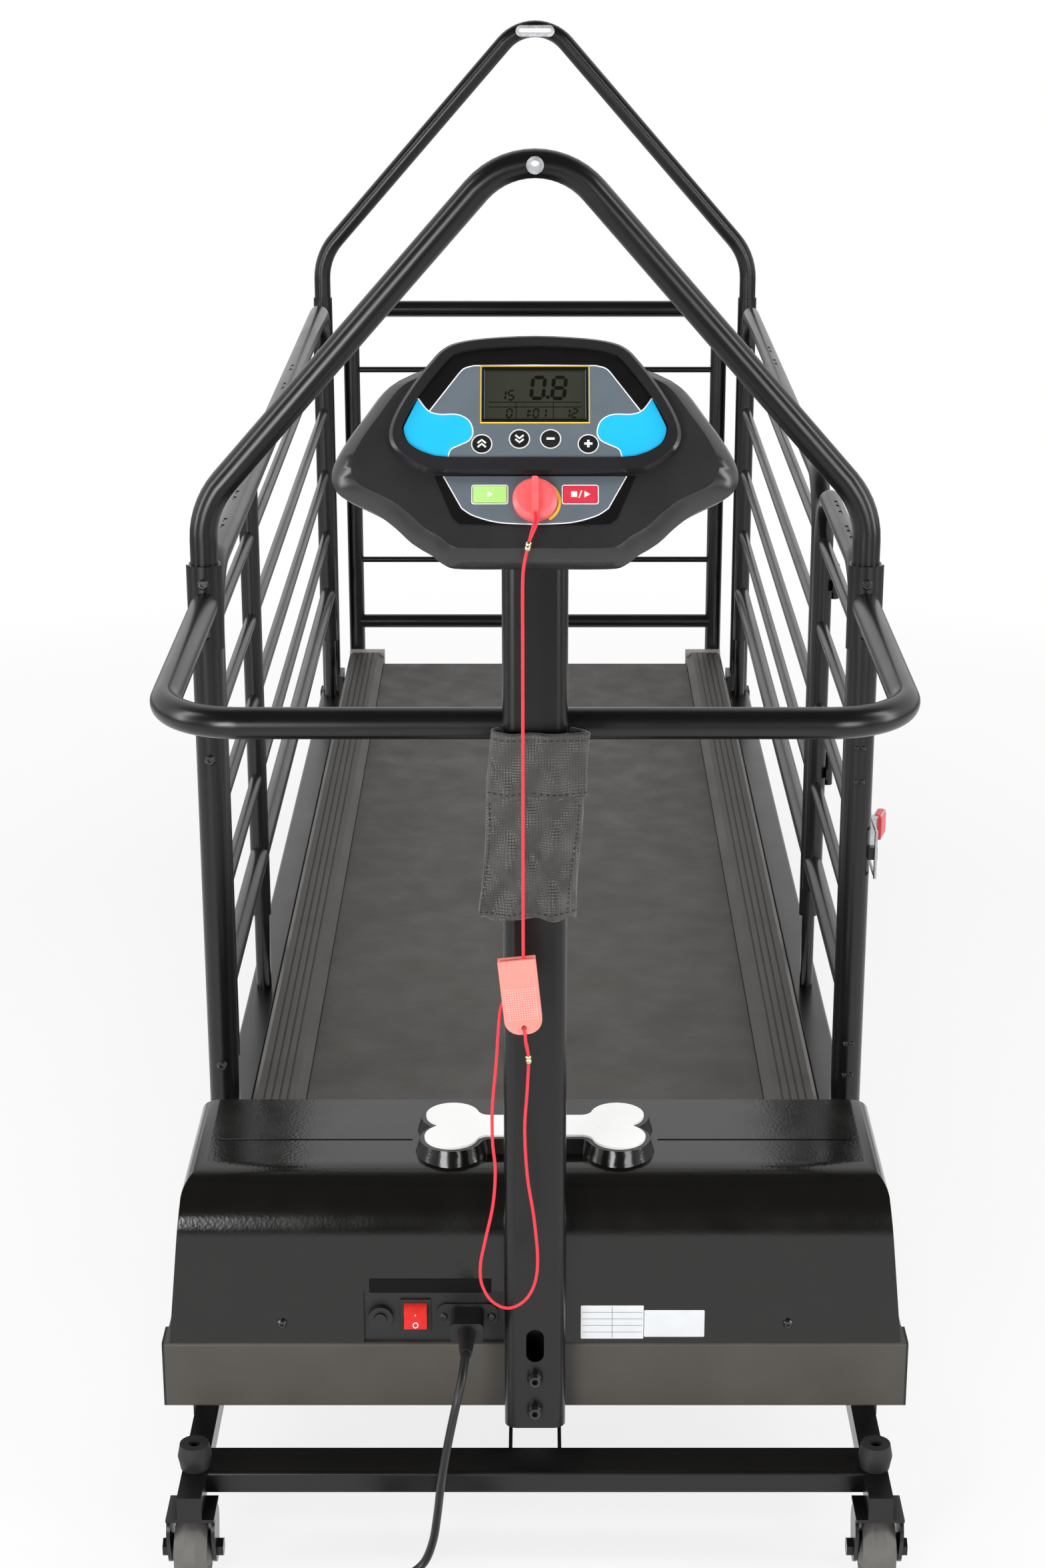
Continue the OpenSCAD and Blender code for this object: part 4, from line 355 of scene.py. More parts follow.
coil = [coil_point(360 * (i / coil_rings - coil_turns)) for i in range(int(2 * coil_turns * coil_rings) + 1)]
tail = [coil[-1] - Vector((0, coil_tail / 2, 0)), coil[-1] - Vector((0, coil_tail, 0))]
lead_route = [p * MM for p in smooth(lead_points, 6) + coil + tail]
lead = round_cord("mains_lead_flex", lead_route, lead_r * MM, flex_pvc)
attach(lead, "frame")
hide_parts("mains_lead", "lead_coil")
print("mains lead", round(length_of(lead_route), 3), "m")

# %% Tether
hang_y = -971.5
tether_points = [(0, -960, 902), (0, -963, 898), (-2, -967, 891), (-5, -970.5, 880)] + [
    (x, hang_y, z) for x, z in [(-8, 866), (-9, 850), (-9, 800), (-9, 740), (-9, 680), (-9, 620), (-9, 575),
                                (-9, 558), (-10.5, 547), (-15, 537), (-21, 529), (-26, 518), (-28, 500),
                                (-30, 470), (-33, 435), (-33, 405), (-31, 380), (-33, 350), (-39, 320),
                                (-43, 298), (-42, 280), (-34, 265), (-21, 259), (-8, 266), (0, 282),
                                (2, 305), (-1, 340), (-6, 375), (-8, 415), (-6, 450), (-5, 475), (-7, 488),
                                (-7.5, 496.5)]]
tether_r = 1.25
tether_route = [p * MM for p in smooth(tether_points, 6)]
tether = round_cord("tether_braid", tether_route, tether_r * MM, braid)
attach(tether, "safety_key")
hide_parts("tether_cord")
# Tinned brass: a pale yellow glint on the red cord.
crimp_brass, tree, shader = new_material("tinned_brass", "#d9cda6", 0.25, Metallic=1.0)
mottle(tree, shader, "#e4d9b4", "#c9bb90", 3, 0.2, 0.32)
tether_ends = [ferrule("upper_crimp", (-5, -970.5, 880), (-6, -5, -25), crimp_brass, "safety_key"),
               ferrule("lower_crimp", (-5, -971.7, 475), (-1, 0, 10), crimp_brass, "safety_key")]
eye_strands = {
    "upper_eye_strand": [(-4.4, -970.4, 883), (-0.6, -968, 891), (2.2, -964, 898), (1.2, -960.4, 902)],
    "lower_eye_strand": [(-5, -972.4, 477), (-5.6, -974.6, 485), (-7.2, -977.3, 494), (-8.1, -977.6, 499.5),
                         (-8.3, -975.2, 502)],
}
strand_r = 0.8 * tether_r
for end, points in eye_strands.items():
    strand = round_cord(end, [p * MM for p in smooth(points, 6)], strand_r * MM, braid)
    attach(strand, "safety_key")
    tether_ends.append(strand)
print("tether", round(length_of(tether_route), 3), "m")

# %% [markdown]
# ## Finishes on the solids
# Each solid keeps its shape and gets the finish of the real piece. Round solids come in as small flat
# facets, so their normals are smoothed up to an angle: tubes turn round and edges stay crisp. Weighing
# the normals by the size of each face keeps thin facets from showing as streaks.

# %% Running belt
# PVC belting with a pressed pattern: flat, warm dark grey.
belt_pvc, tree, shader = new_material("matt_pvc_belting", "#433f3b", 0.5, IOR=1.5, Specular_IOR_Level=0.35)
place = mottle(tree, shader, "#474340", "#3f3b37", 35, 0.42, 0.58)
ribs = add(tree, "ShaderNodeTexVoronoi", {"Vector": place.outputs["Object"], "Scale": per_metre(2.6)})
relief = add(tree, "ShaderNodeBump", {"Height": ribs.outputs["Distance"], "Strength": 0.5,
             "Distance": 0.35 * MM})
tree.links.new(relief.outputs["Normal"], shader.inputs["Normal"])

# %% Print films and display
# Printed polyester film: an even black with a low shine.
film_black, tree, shader = new_material("black_polyester_film", "#0e0e0e", 0.3, IOR=1.5)
mottle(tree, shader, "#111111", "#0b0b0b", 25, 0.26, 0.36)
# The same film printed grey: flat and cool.
film_grey, tree, shader = new_material("grey_printed_polyester_film", "#626c74", 0.4, IOR=1.5)
place = mottle(tree, shader, "#677179", "#5d676f", 25, 0.36, 0.46)
grain(tree, shader, place, 0.5, 0.01)
# Printed blue: the strongest colour of the face.
film_blue, tree, shader = new_material("blue_printed_polyester_film", "#12bdf2", 0.4, IOR=1.5)
mottle(tree, shader, "#16c2f6", "#0eb7ec", 25, 0.36, 0.46)
# Screen-printed ink: flat white lines.
film_white, tree, shader = new_material("white_printed_ink", "#ecedee", 0.45, IOR=1.5)
mottle(tree, shader, "#f2f2f2", "#e4e5e6", 6, 0.4, 0.5)
# Yellow ink: a thin warm line.
film_yellow, tree, shader = new_material("yellow_printed_ink", "#f2c93a", 0.42, IOR=1.5)
mottle(tree, shader, "#f6cf40", "#ecc132", 6, 0.38, 0.46)
# Printed film over a key: a pale, flat green.
film_green, tree, shader = new_material("green_printed_polyester_film", "#b9ec86", 0.4, IOR=1.5)
mottle(tree, shader, "#bff08d", "#b1e67d", 8, 0.36, 0.46)
# Printed film over a key: a flat red.
film_red, tree, shader = new_material("red_printed_polyester_film", "#dc3148", 0.4, IOR=1.5)
mottle(tree, shader, "#e2364d", "#d42c42", 8, 0.36, 0.46)
# Glass over liquid crystal: olive grey with a faint shine.
lcd_glass, tree, shader = new_material("liquid_crystal_glass", "#34362c", 0.25, IOR=1.45)
mottle(tree, shader, "#383930", "#303228", 30, 0.2, 0.3)
# A driven segment: nearly black on the olive ground.
lcd_segment, tree, shader = new_material("dark_liquid_crystal_segment", "#0d0e08", 0.3, IOR=1.45)
mottle(tree, shader, "#10110a", "#090a05", 8, 0.26, 0.34)

# %% Give every solid its finish
finishes = {
    beam_coat: ["cross_members"],
    powder_coat: ["side_members", "mast", "guard_bar", "posts", "front_arch", "rear_arch",
                  "left_panel", "right_panel", "door", "door_hinges", "latch_keeper", "rear_guard",
                  "lift_frame"],
    hood_abs: ["hood"],
    console_abs: ["console_shell"],
    bezel_abs: ["console_bezel"],
    nylon: ["inlet_panel", "power_inlet", "breaker_button", "incline_up_key", "incline_down_key",
            "slower_key", "faster_key", "lead_connectors"],
    rail_pvc: ["side_rails"],
    cap_pvc: ["rail_end_caps"],
    wheel_nylon: ["caster_left", "caster_right"],
    rubber: ["rubber_fittings", "bumpers", "drive_belt"],
    zinc: ["arch_eyelets", "latch_base", "latch_lever", "latch_loop", "lift_tube"],
    turned_steel: ["steel_shafts", "front_roller", "rear_roller", "motor_pulley"],
    black_oxide: ["bolts"],
    motor_enamel: ["drive_motor", "lift_motor", "controller_box"],
    deck_laminate: ["deck_board"],
    belt_pvc: ["running_belt"],
    white_pvc: ["bone_plate"],
    film_black: ["face_panels"],
    lcd_glass: ["display"],
    film_green: ["green_key"],
    film_red: ["red_key"],
    red_abs: ["safety_key"],
    rocker_pc: ["rocker"],
    clip_pp: ["tether_clip", "clip_jaw"],
}
for material, names in finishes.items():
    for name in names:
        solid = nodes[name]
        solid.data.materials.clear()
        solid.data.materials.append(material)
        solid.data.shade_smooth()
        welding = solid.modifiers.new("joined_facets", "WELD")
        welding.merge_threshold = 0.005 * MM
        smoothing = solid.modifiers.new("crisp_edges", "EDGE_SPLIT")
        smoothing.split_angle = math.radians(32)
        evening = solid.modifiers.new("even_shading", "WEIGHTED_NORMAL")
        evening.mode = "FACE_AREA"
        evening.weight = 50
print(sum(len(v) for v in finishes.values()), "solids finished")

# %% [markdown]
# ## Print on the console
# The face carries a printed film: a grey field with a fine white outline, two blue areas at the sides, a
# yellow line round the display and a second grey field round the safety key. Each is a thin film cut to
# its outline, laid on the moulded face, so that it stays sharp at any distance. It has holes for the
# display and the keys, so that a pressed key sinks through it. Outlines are in millimetres on the face: u
# to the right and w up, from the middle of the face.

# %% The console's own plane
console_lean = math.radians(37)
on_console = (Matrix.Translation((0, -0.918, 0.937))
              @ Matrix.Rotation(math.pi / 2 - console_lean, 4, "X"))
upper_film, lower_film, display_top, key_top = 6.0, 1.0, 5.0, 6.8


def thin_film(name, outlines, level, thickness, material, body, plane=on_console, holes=()):
    """Flat pieces cut to closed outlines, with any holes, laid at that level over a plane."""
    mesh = bmesh.new()
    if holes:
        rims = []
        for outline in [*outlines, *holes]:
            corners = [mesh.verts.new((u, w, level)) for u, w in outline]
            rims += [mesh.edges.new((corners[i - 1], corners[i])) for i in range(len(corners))]
        bmesh.ops.triangle_fill(mesh, edges=rims, use_beauty=True)
        raised = bmesh.ops.extrude_face_region(mesh, geom=mesh.faces[:], use_keep_orig=True)["geom"]
        bmesh.ops.translate(mesh, verts=[v for v in raised if isinstance(v, bmesh.types.BMVert)],
                            vec=(0, 0, thickness))
        bmesh.ops.transform(mesh, matrix=plane @ Matrix.Scale(MM, 4), verts=mesh.verts[:])
    else:
        for outline in outlines:
            low, high = ([mesh.verts.new(plane @ (Vector((u, w, n)) * MM)) for u, w in outline]
                         for n in (level, level + thickness))
            mesh.faces.new(high)
            mesh.faces.new(reversed(low))
            count = len(outline)
            for i in range(count):
                j = (i + 1) % count
                mesh.faces.new((low[i], low[j], high[j], high[i]))
    bmesh.ops.recalc_face_normals(mesh, faces=mesh.faces)
    data = bpy.data.meshes.new(name)
    mesh.to_mesh(data)
    mesh.free()
    data.materials.append(material)
    made = bpy.data.objects.new(name, data)
    scene.collection.objects.link(made)
    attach(made, body)
    return made


def stroke(points, width, closed=False):
    """A line of that width along the points, as one quad outline per stretch."""
    points = [Vector(p) for p in points]
    count = len(points)
    sides = []
    for i, p in enumerate(points):
        before = points[i - 1] if i or closed else p
        after = points[(i + 1) % count] if i < count - 1 or closed else p
        way = (after - before).normalized()
        across = Vector((-way.y, way.x)) * width / 2
        sides.append((p - across, p + across))
    stretches = range(count if closed else count - 1)
    return [[sides[i][0], sides[(i + 1) % count][0], sides[(i + 1) % count][1], sides[i][1]]
            for i in stretches]


def mirrored(points):
    return [(-u, w) for u, w in reversed(points)]


def box_outline(u, w, width, height, r=0.0, steps=5):
    """A rectangle round (u, w) with rounded corners."""
    if not r:
        return [(u - width / 2, w - height / 2), (u + width / 2, w - height / 2),
                (u + width / 2, w + height / 2), (u - width / 2, w + height / 2)]
    outline = []
    for k, (su, sw) in enumerate([(1, 1), (-1, 1), (-1, -1), (1, -1)]):
        for i in range(steps + 1):
            a = math.radians(90 * k + 90 * i / steps)
            outline.append((u + su * (width / 2 - r) + r * math.cos(a),
                            w + sw * (height / 2 - r) + r * math.sin(a)))
    return outline


def disc(u, w, r, start=0, turn=360, steps=40):
    return [(u + r * math.cos(math.radians(start + turn * i / steps)),
             w + r * math.sin(math.radians(start + turn * i / steps))) for i in range(steps)]


def curved(points, steps=6):
    return [(p.x, p.y) for p in smooth([(*p, 0) for p in points], steps)]


# %% Grey and blue fields
film_t = 0.08
blue_inner = curved([(-86, 41), (-79, 31.5), (-71, 28.3), (-57, 28), (-48.5, 23), (-45.5, 14), (-48, 7.5),
                     (-55, 3.5), (-61.5, 0), (-63.6, -6.4)])
blue_outer = curved([(-63.6, -6.4), (-77, -4), (-85.5, 0), (-93, 6), (-96.3, 15.5), (-94.2, 22.8), (-86, 41)])
blue_left = blue_inner[:-1] + blue_outer[:-1]
grey_top = [(-78, 30.3)] + curved([(-56, 61.5), (-52, 65.5), (-45, 67.6)], 4) + [(0, 68)]
lcd_side, lcd_low, lcd_high = 37, 24.4, 64.4
grey_field = grey_top + mirrored(grey_top)[1:] + [(63.6, -6.4), (-63.6, -6.4)]
lcd_window = box_outline(0, (lcd_low + lcd_high) / 2, 2 * lcd_side, lcd_high - lcd_low)
key_places = {"incline_up_key": (-39, 4.37), "incline_down_key": (-11.4, 8.37),
              "slower_key": (11.4, 8.37), "faster_key": (39, 4.37)}
key_hole_r, key_ring_r = 7.1, 7.4
key_holes = [disc(u, w, key_hole_r) for u, w in key_places.values()]
thin_film("grey_face_print", [grey_field], upper_film, film_t, film_grey, "frame",
          holes=[lcd_window, *key_holes])
thin_film("blue_side_print", [blue_left, mirrored(blue_left)], upper_film, 2 * film_t, film_blue, "frame")
line_w = 0.9
outline_strokes = (stroke(grey_top + mirrored(grey_top)[1:], line_w) + stroke(blue_inner, line_w)
                   + stroke(mirrored(blue_inner), line_w))
thin_film("white_face_lines", outline_strokes, upper_film, 3 * film_t, film_white, "frame")
key_field = [(-67, -19.2), (-53.5, -44.5), (-44.5, -50.5), (-26, -55.8), (0, -57.2)]
key_field_side = key_field[:1] + curved(key_field[1:], 5)
key_field_outline = key_field_side + mirrored(key_field_side)[1:]
bar_places = {"green_key": -33, "red_key": 33}
bar_top, bar_w = 1.8, -33.67
bar_holes = [box_outline(u, bar_w, 25.6, 14.1, 1.4) for u in bar_places.values()]
thin_film("grey_key_print", [key_field_outline], lower_film, film_t, film_grey, "frame", holes=bar_holes)
thin_film("white_key_line", stroke(key_field_outline, line_w), lower_film, 3 * film_t, film_white, "frame")

# %% Display: frame line, border and figures
display_w = 44.4
thin_film("display_border", stroke(box_outline(0, display_w, 76.6, 42.6), 3.2, True), upper_film, 2 * film_t,
          film_black, "frame")
thin_film("display_line", stroke(box_outline(0, display_w, 80, 46), 1.3, True), upper_film, 3 * film_t,
          film_yellow, "frame")

SEGMENTS = {"0": "abcdef", "1": "bc", "2": "abged", "5": "afgcd", "8": "abcdefg"}


def figure(digit, u, w, height, bar):
    """The bars of one seven-bar figure, leaning a little as displays do."""
    width = height * 0.52
    lean = 0.1
    ends = {"a": ((0, 2), (1, 2)), "b": ((1, 2), (1, 1)), "c": ((1, 1), (1, 0)), "d": ((0, 0), (1, 0)),
            "e": ((0, 1), (0, 0)), "f": ((0, 2), (0, 1)), "g": ((0, 1), (1, 1))}
    bars = []
    for name in SEGMENTS[digit]:
        a, b = (Vector((u + p[0] * width + lean * p[1] * height / 2, w + p[1] * height / 2))
                for p in ends[name])
        way = (b - a).normalized()
        across = Vector((-way.y, way.x)) * bar / 2
        a, b = a + way * bar * 0.15, b - way * bar * 0.15
        bars.append([a, a + way * bar / 2 - across, b - way * bar / 2 - across, b,
                     b - way * bar / 2 + across, a + way * bar / 2 + across])
    return bars


def figures(text, u, w, height, bar):
    bars = []
    for letter in text:
        if letter == ":":
            bars += [box_outline(u - bar * 0.2, w + height * share, bar, bar) for share in (0.25, 0.7)]
            u += bar * 1.6
        else:
            bars += figure(letter, u, w, height, bar)
            u += height * 0.82
    return bars


large = {"w": 41.6, "height": 17, "bar": 2.9}
small = {"w": 26.2, "height": 6.8, "bar": 1.25}
rule_half, rule_t, divider_t, rule_low, rule_high = 34, 0.6, 0.5, 34.6, 38.6
shown = (figure("0", -3, **large) + [box_outline(9.4, 42.6, 2.6, 2.6)] + figure("8", 12.4, **large)
         + figures("15", -26, 40.4, 7.4, 1.35) + figures("0", -21, **small) + figures("1:01", -9, **small)
         + figures("12", 21.5, **small))
for w in (rule_low, rule_high):
    shown += stroke([(-rule_half, w), (rule_half, w)], rule_t)
for u in (-14, 13.5):
    shown += stroke([(u, rule_high), (u, 25)], divider_t)
thin_film("display_figures", shown, display_top, 0.05, lcd_segment, "frame")

# %% Key rings and marks
mark_w = 1.5


def chevrons(u, w, up):
    marks = []
    for k in (-1.6, 1.6):
        marks += stroke([(u - 3, w + k - up * 1.2), (u, w + k + up * 1.4), (u + 3, w + k - up * 1.2)], mark_w)
    return marks


def sign_bar(u, w):
    return [box_outline(u, w, 6, 1.8)]


def plus(u, w):
    """A level bar with a short one above and below, so that no two pieces overlap."""
    return sign_bar(u, w) + [box_outline(u, w + side * 1.95, 1.8, 2.1) for side in (1, -1)]


key_marks = {
    "incline_up_key": chevrons(*key_places["incline_up_key"], 1),
    "incline_down_key": chevrons(*key_places["incline_down_key"], -1),
    "slower_key": sign_bar(*key_places["slower_key"]),
    "faster_key": plus(*key_places["faster_key"]),
}
for key, marks in key_marks.items():
    thin_film(key + "_mark", marks, key_top, 0.1, film_white, key)
key_rings, bar_rings = [], []
for u, w in key_places.values():
    key_rings += stroke(disc(u, w, key_ring_r), line_w, True)
for u in bar_places.values():
    bar_rings += stroke(box_outline(u, bar_w, 26.2, 14.7, 1.6), line_w, True)
thin_film("white_key_rings", key_rings, upper_film, 3 * film_t, film_white, "frame")
thin_film("white_bar_rings", bar_rings, lower_film, 3 * film_t, film_white, "frame")
thin_film("green_key_mark", [[(-34.6, bar_w - 2.6), (-30.8, bar_w), (-34.6, bar_w + 2.6)]], bar_top, 0.06,
          film_white, "green_key")
red_key_marks = [box_outline(28.5, bar_w, 4.4, 4.4), *stroke([(32, bar_w - 3), (34, bar_w + 3)], 0.9),
                 [(36, bar_w - 2.6), (40.4, bar_w), (36, bar_w + 2.6)]]
thin_film("red_key_marks", red_key_marks, bar_top, 0.06, film_white, "red_key")
thin_film("yellow_key_ring", stroke(disc(1.6, -39.4, 16.4, -58, 112), 2.0), lower_film, 3 * film_t,
          film_yellow, "frame")
print("console print done")

# %% [markdown]
# ## Small marks and grips
# A red dipped sleeve on the latch lever, the two marks on the rocker, bare labels on the hood's front and
# rows of grip dots on the tether's clip. They are small, but on a machine that is black all over they are
# what the eye finds first.

# %% Red grip on the latch lever
# Dipped vinyl: thick, bright red and a little shiny.
vinyl, tree, shader = new_material("dipped_red_vinyl", "#e4474b", 0.3, IOR=1.53)
mottle(tree, shader, "#ea5054", "#dc3e43", 10, 0.26, 0.36)
latch_axis = Matrix.Translation((312, -480.5, 478)) @ Matrix.Rotation(math.radians(-18), 4, "Z")
lever_middle, lever_end, grip_half_t, grip_half_h = 1.5, 46, 4.0, 11.8


def grip_ring(along, swell):
    """A rounded section of the grip, at that distance along the lever."""
    ring, count = [], 28
    for k in range(count):
        c, d = math.cos(math.tau * k / count), math.sin(math.tau * k / count)
        out = (grip_half_t + swell) * math.copysign(abs(c) ** 0.6, c)
        up = (grip_half_h + swell) * math.copysign(abs(d) ** 0.35, d)
        ring.append(latch_axis @ Vector((lever_middle + out, along, up)))
    return ring


grip_swells = [(-20.6, 0.1), (-19.6, 0.7), (-16, 0.7), (-14, 0.4), (-12, 0.7), (-10, 0.4), (-8, 0.7),
               (-6, 0.4), (-4, 0.7), (-0.5, 0.7), (0.6, 0.2)]
lofted("latch_grip", [grip_ring(lever_end + a, w) for a, w in grip_swells], vinyl, "latch_lever")


# %% Planes of the rocker's two faces, the hood's front and the clip's jaw
def plane_of(origin, up, turn=Matrix.Identity(4)):
    """A plane with u along X and w along up, through a point in millimetres, before that turn."""
    right, up = Vector((1, 0, 0)), Vector(up).normalized()
    out = right.cross(up)
    return turn @ Matrix.Translation(Vector(origin) * MM) @ Matrix((right, up, out)).transposed().to_4x4()


rocker_at = Matrix.Translation(Vector((-99, -882, 202)) * MM) @ Matrix.Rotation(math.radians(8), 4, "X")
on_upper = plane_of((0, -4, 0), (0, -8, 12), rocker_at)
on_lower = plane_of((0, -4, 0), (0, 8, 12), rocker_at)
mark_gap, ink_t = 0.02, 0.06
on_mark, off_mark = [box_outline(0, 6.2, 1.0, 4.4)], stroke(disc(0, -6.2, 2.0), 0.9, True)
thin_film("rocker_on_mark", on_mark, mark_gap, ink_t, film_white, "rocker", on_upper)
thin_film("rocker_off_mark", off_mark, mark_gap, ink_t, film_white, "rocker", on_lower)

# %% Bare labels on the hood
on_hood = plane_of((0, -885, 0), (0, 0, 1))
# Coated paper: a plain near-white.
label_white, tree, shader = new_material("white_paper_label", "#dfe2e4", 0.45, IOR=1.5)
mottle(tree, shader, "#e6e8ea", "#d6d9dc", 18, 0.4, 0.5)
# Matt vinyl: a flat black, darker than the hood round it.
label_black, tree, shader = new_material("matt_black_vinyl_label", "#080808", 0.55, Specular_IOR_Level=0.15)
mottle(tree, shader, "#0a0a0a", "#060606", 18, 0.5, 0.6)
switch_label = box_outline(-86.5, 231, 101, 13, 1.0)
thin_film("switch_label", [switch_label], mark_gap, 0.3, label_black, "frame", on_hood)
label_u, label_w, rule_step = 64, 197, 6.2
plain_labels = [box_outline(label_u, label_w, 52, 31, 0.8), box_outline(115.5, 195.7, 50, 25, 0.8)]
thin_film("plain_labels", plain_labels, mark_gap, 0.1, label_white, "frame", on_hood)
rules = [box_outline(label_u, label_w + rule_step * k, 50, 0.4) for k in (-1.5, -0.5, 0.5, 1.5)]
rules.append(box_outline(label_u, label_w, 0.4, 29))
thin_film("label_rules", rules, 0.12, 0.04, film_grey, "frame", on_hood)

# %% Grip dots on the clip
clip_at = Matrix.Translation(Vector((-11, -971.5, 528)) * MM) @ Matrix.Rotation(math.radians(-6), 4, "Y")
on_jaw = plane_of((0, -4.3, 0), (0, 0, 1), clip_at)
dot_step = 1.9
dots = [disc(dot_step * i, 7 - dot_step * k, 0.5, steps=8) for i in range(-6, 7) for k in range(14)]
# Polypropylene grip dots, a paler pink than the clip they stand on.
dot_pp, tree, shader = new_material("pale_pink_polypropylene_dots", "#ffc4bd", 0.5, IOR=1.49)
mottle(tree, shader, "#ffccc6", "#fbb8b0", 4, 0.45, 0.6)
thin_film("clip_grip_dots", dots, 0.0, 0.4, dot_pp, "clip_jaw", on_jaw)
print(len(dots), "grip dots")

# %% [markdown]
# ## Cloth sleeve on the mast
# A black polyester sleeve with a sewn flap wraps the cable joint on the mast. It was sewn from woven
# tape, so it stands a little off the tube, bulges at the sides and sags to one side with soft wrinkles.
# The sheet is a grid of rows round the mast's front; each row takes the same section, pushed about by a
# few slow waves, and a solidify modifier gives the cloth its thickness. The stitches are short threads.

# %% Woven polyester
# Woven polyester: charcoal cloth with a silky sheen on its folds.
woven, tree, shader = new_material("woven_black_polyester", "#343332", 0.4, IOR=1.5, Sheen_Weight=0.3,
                                   Sheen_Roughness=0.5)
place = mottle(tree, shader, "#3f3d3b", "#2b2a29", 14, 0.3, 0.44)
thread_mm = 1.1     # real threads are about half of this: drawn coarser, so that the weave shows
relief = None
for direction in ("X", "Z"):
    warp = add(tree, "ShaderNodeTexWave", {"Vector": place.outputs["Object"], "Distortion": 0.6,
               "Scale": per_metre(thread_mm) / math.tau}, wave_type="BANDS", bands_direction=direction)
    settings = {"Height": warp.outputs["Fac"], "Strength": 0.6, "Distance": 0.25 * MM}
    if relief:
        settings["Normal"] = relief.outputs["Normal"]
    relief = add(tree, "ShaderNodeBump", settings)
tree.links.new(relief.outputs["Normal"], shader.inputs["Normal"])
# Twisted thread: darker than the cloth, with no shine.
thread, tree, shader = new_material("twisted_black_sewing_thread", "#201f1e", 0.7, IOR=1.5)
mottle(tree, shader, "#2a2928", "#161515", 1.5, 0.6, 0.8)

# %% The sleeve and its flap
mast_front = -917
sleeve_half = [(26, 8), (31, 5.5), (35, 2), (36.5, -1.5), (33, -4.2), (24, -6), (12, -7), (0, -7.4)]
sleeve_section = [(p.x, p.y) for p in smooth([(-x, y, 0) for x, y in sleeve_half]
                  + [(x, y, 0) for x, y in sleeve_half[-2::-1]], 3)]
sleeve_low, sleeve_high, flap_low = 572, 723, 671


def sleeve_point(x, y, z, lift):
    """A point of the cloth: leaning, wrinkled, and lifted off the tube by that much."""
    share = (z - sleeve_low) / (sleeve_high - sleeve_low)
    lean = -8 + 12.5 * share
    front = max(0.0, min(1.0, (6 - y) / 10))
    slack = 1.5 - 0.9 * share
    wave = slack * (2.2 * math.sin(z / 7.5 + x / 7) + 1.6 * math.sin(z / 9 - x / 4.6 + 1.3)
                    + 1.5 * math.sin(x / 5.5 + 3 * share) + 0.8 * math.sin(z / 3.4 + x / 3.2))
    side = 1.2 * math.sin(z / 17 + (1 if x > 0 else 2.5))
    across = x * (1 + lift / 60) + (lean + side) * front
    out = mast_front + y - 1.5 * front - lift + 0.8 * wave * front
    return Vector((across, out, z)) * MM


def cloth_sheet(name, section, low, high, rows, lift, hem=0.0):
    mesh = bmesh.new()
    grid = []
    for i in range(rows + 1):
        row = []
        for k, (x, y) in enumerate(section):
            z = low + (high - low) * i / rows
            z += hem * math.sin(k * 1.1) * (1 - i / rows)
            row.append(mesh.verts.new(sleeve_point(x, y, z, lift)))
        grid.append(row)
    for a, b in zip(grid, grid[1:]):
        for i in range(len(section) - 1):
            mesh.faces.new((a[i], a[i + 1], b[i + 1], b[i]))
    data = bpy.data.meshes.new(name)
    mesh.to_mesh(data)
    mesh.free()
    data.shade_smooth()
    data.materials.append(woven)
    made = bpy.data.objects.new(name, data)
    scene.collection.objects.link(made)
    rounding = made.modifiers.new("soft_curve", "SUBSURF")
    rounding.levels = rounding.render_levels = 2
    body = made.modifiers.new("cloth_thickness", "SOLIDIFY")
    body.thickness = 1.0 * MM
    body.offset = 0
    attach(made, "frame")
    return made


def run_length(section):
    return sum(math.dist(a, b) for a, b in zip(section, section[1:]))


sleeve = cloth_sheet("sleeve_cloth", sleeve_section, sleeve_low, sleeve_high, 26, 0, 0.8)
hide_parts("mast_cover")
flap_section = [(x + 1.5, y) for x, y in sleeve_section if abs(x) < 36]
flap = cloth_sheet("sleeve_flap", flap_section, flap_low, sleeve_high - 0.5, 12, 1.7, 1.2)

# %% Stitches
def stitches(name, runs):
    """Short threads lying on the cloth along each run of points."""
    curve = bpy.data.curves.new(name, "CURVE")
    curve.dimensions = "3D"
    curve.bevel_depth = 0.3 * MM
    curve.bevel_resolution = 2
    curve.use_fill_caps = True
    for points in runs:
        for a, b in zip(points[::2], points[1::2]):
            line = curve.splines.new("POLY")
            line.points.add(2)
            middle = (a + b) / 2 - Vector((0, 0.25 * MM, 0))
            for point, spot in zip(line.points, (a, middle, b)):
                point.co = (*spot, 1)
    made = bpy.data.objects.new(name, curve)
    scene.collection.objects.link(made)
    made.data.materials.append(thread)
    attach(made, "frame")
    return made


def across_section(section, z, lift, steps):
    points = []
    total = run_length(section)
    for i in range(steps):
        way = total * (i + 0.5) / steps
        for a, b in zip(section, section[1:]):
            span = math.dist(a, b)
            if way <= span:
                t = way / span
                points.append(sleeve_point(a[0] + (b[0] - a[0]) * t, a[1] + (b[1] - a[1]) * t, z, lift))
                break
            way -= span
    return points


def down_side(x, y, low, high, lift, steps):
    return [sleeve_point(x, y, low + (high - low) * (i + 0.5) / steps, lift) for i in range(steps)]


seams = [across_section(flap_section, z, 2.4, 44) for z in (flap_low + 4, sleeve_high - 5)]
seams.append(across_section(sleeve_section, sleeve_low + 5, 0.8, 48))
seams += [down_side(x, -4.2, sleeve_low + 6, flap_low - 4, 0.9, 44) for x in (-33, 33)]
stitching = stitches("sleeve_stitches", seams)

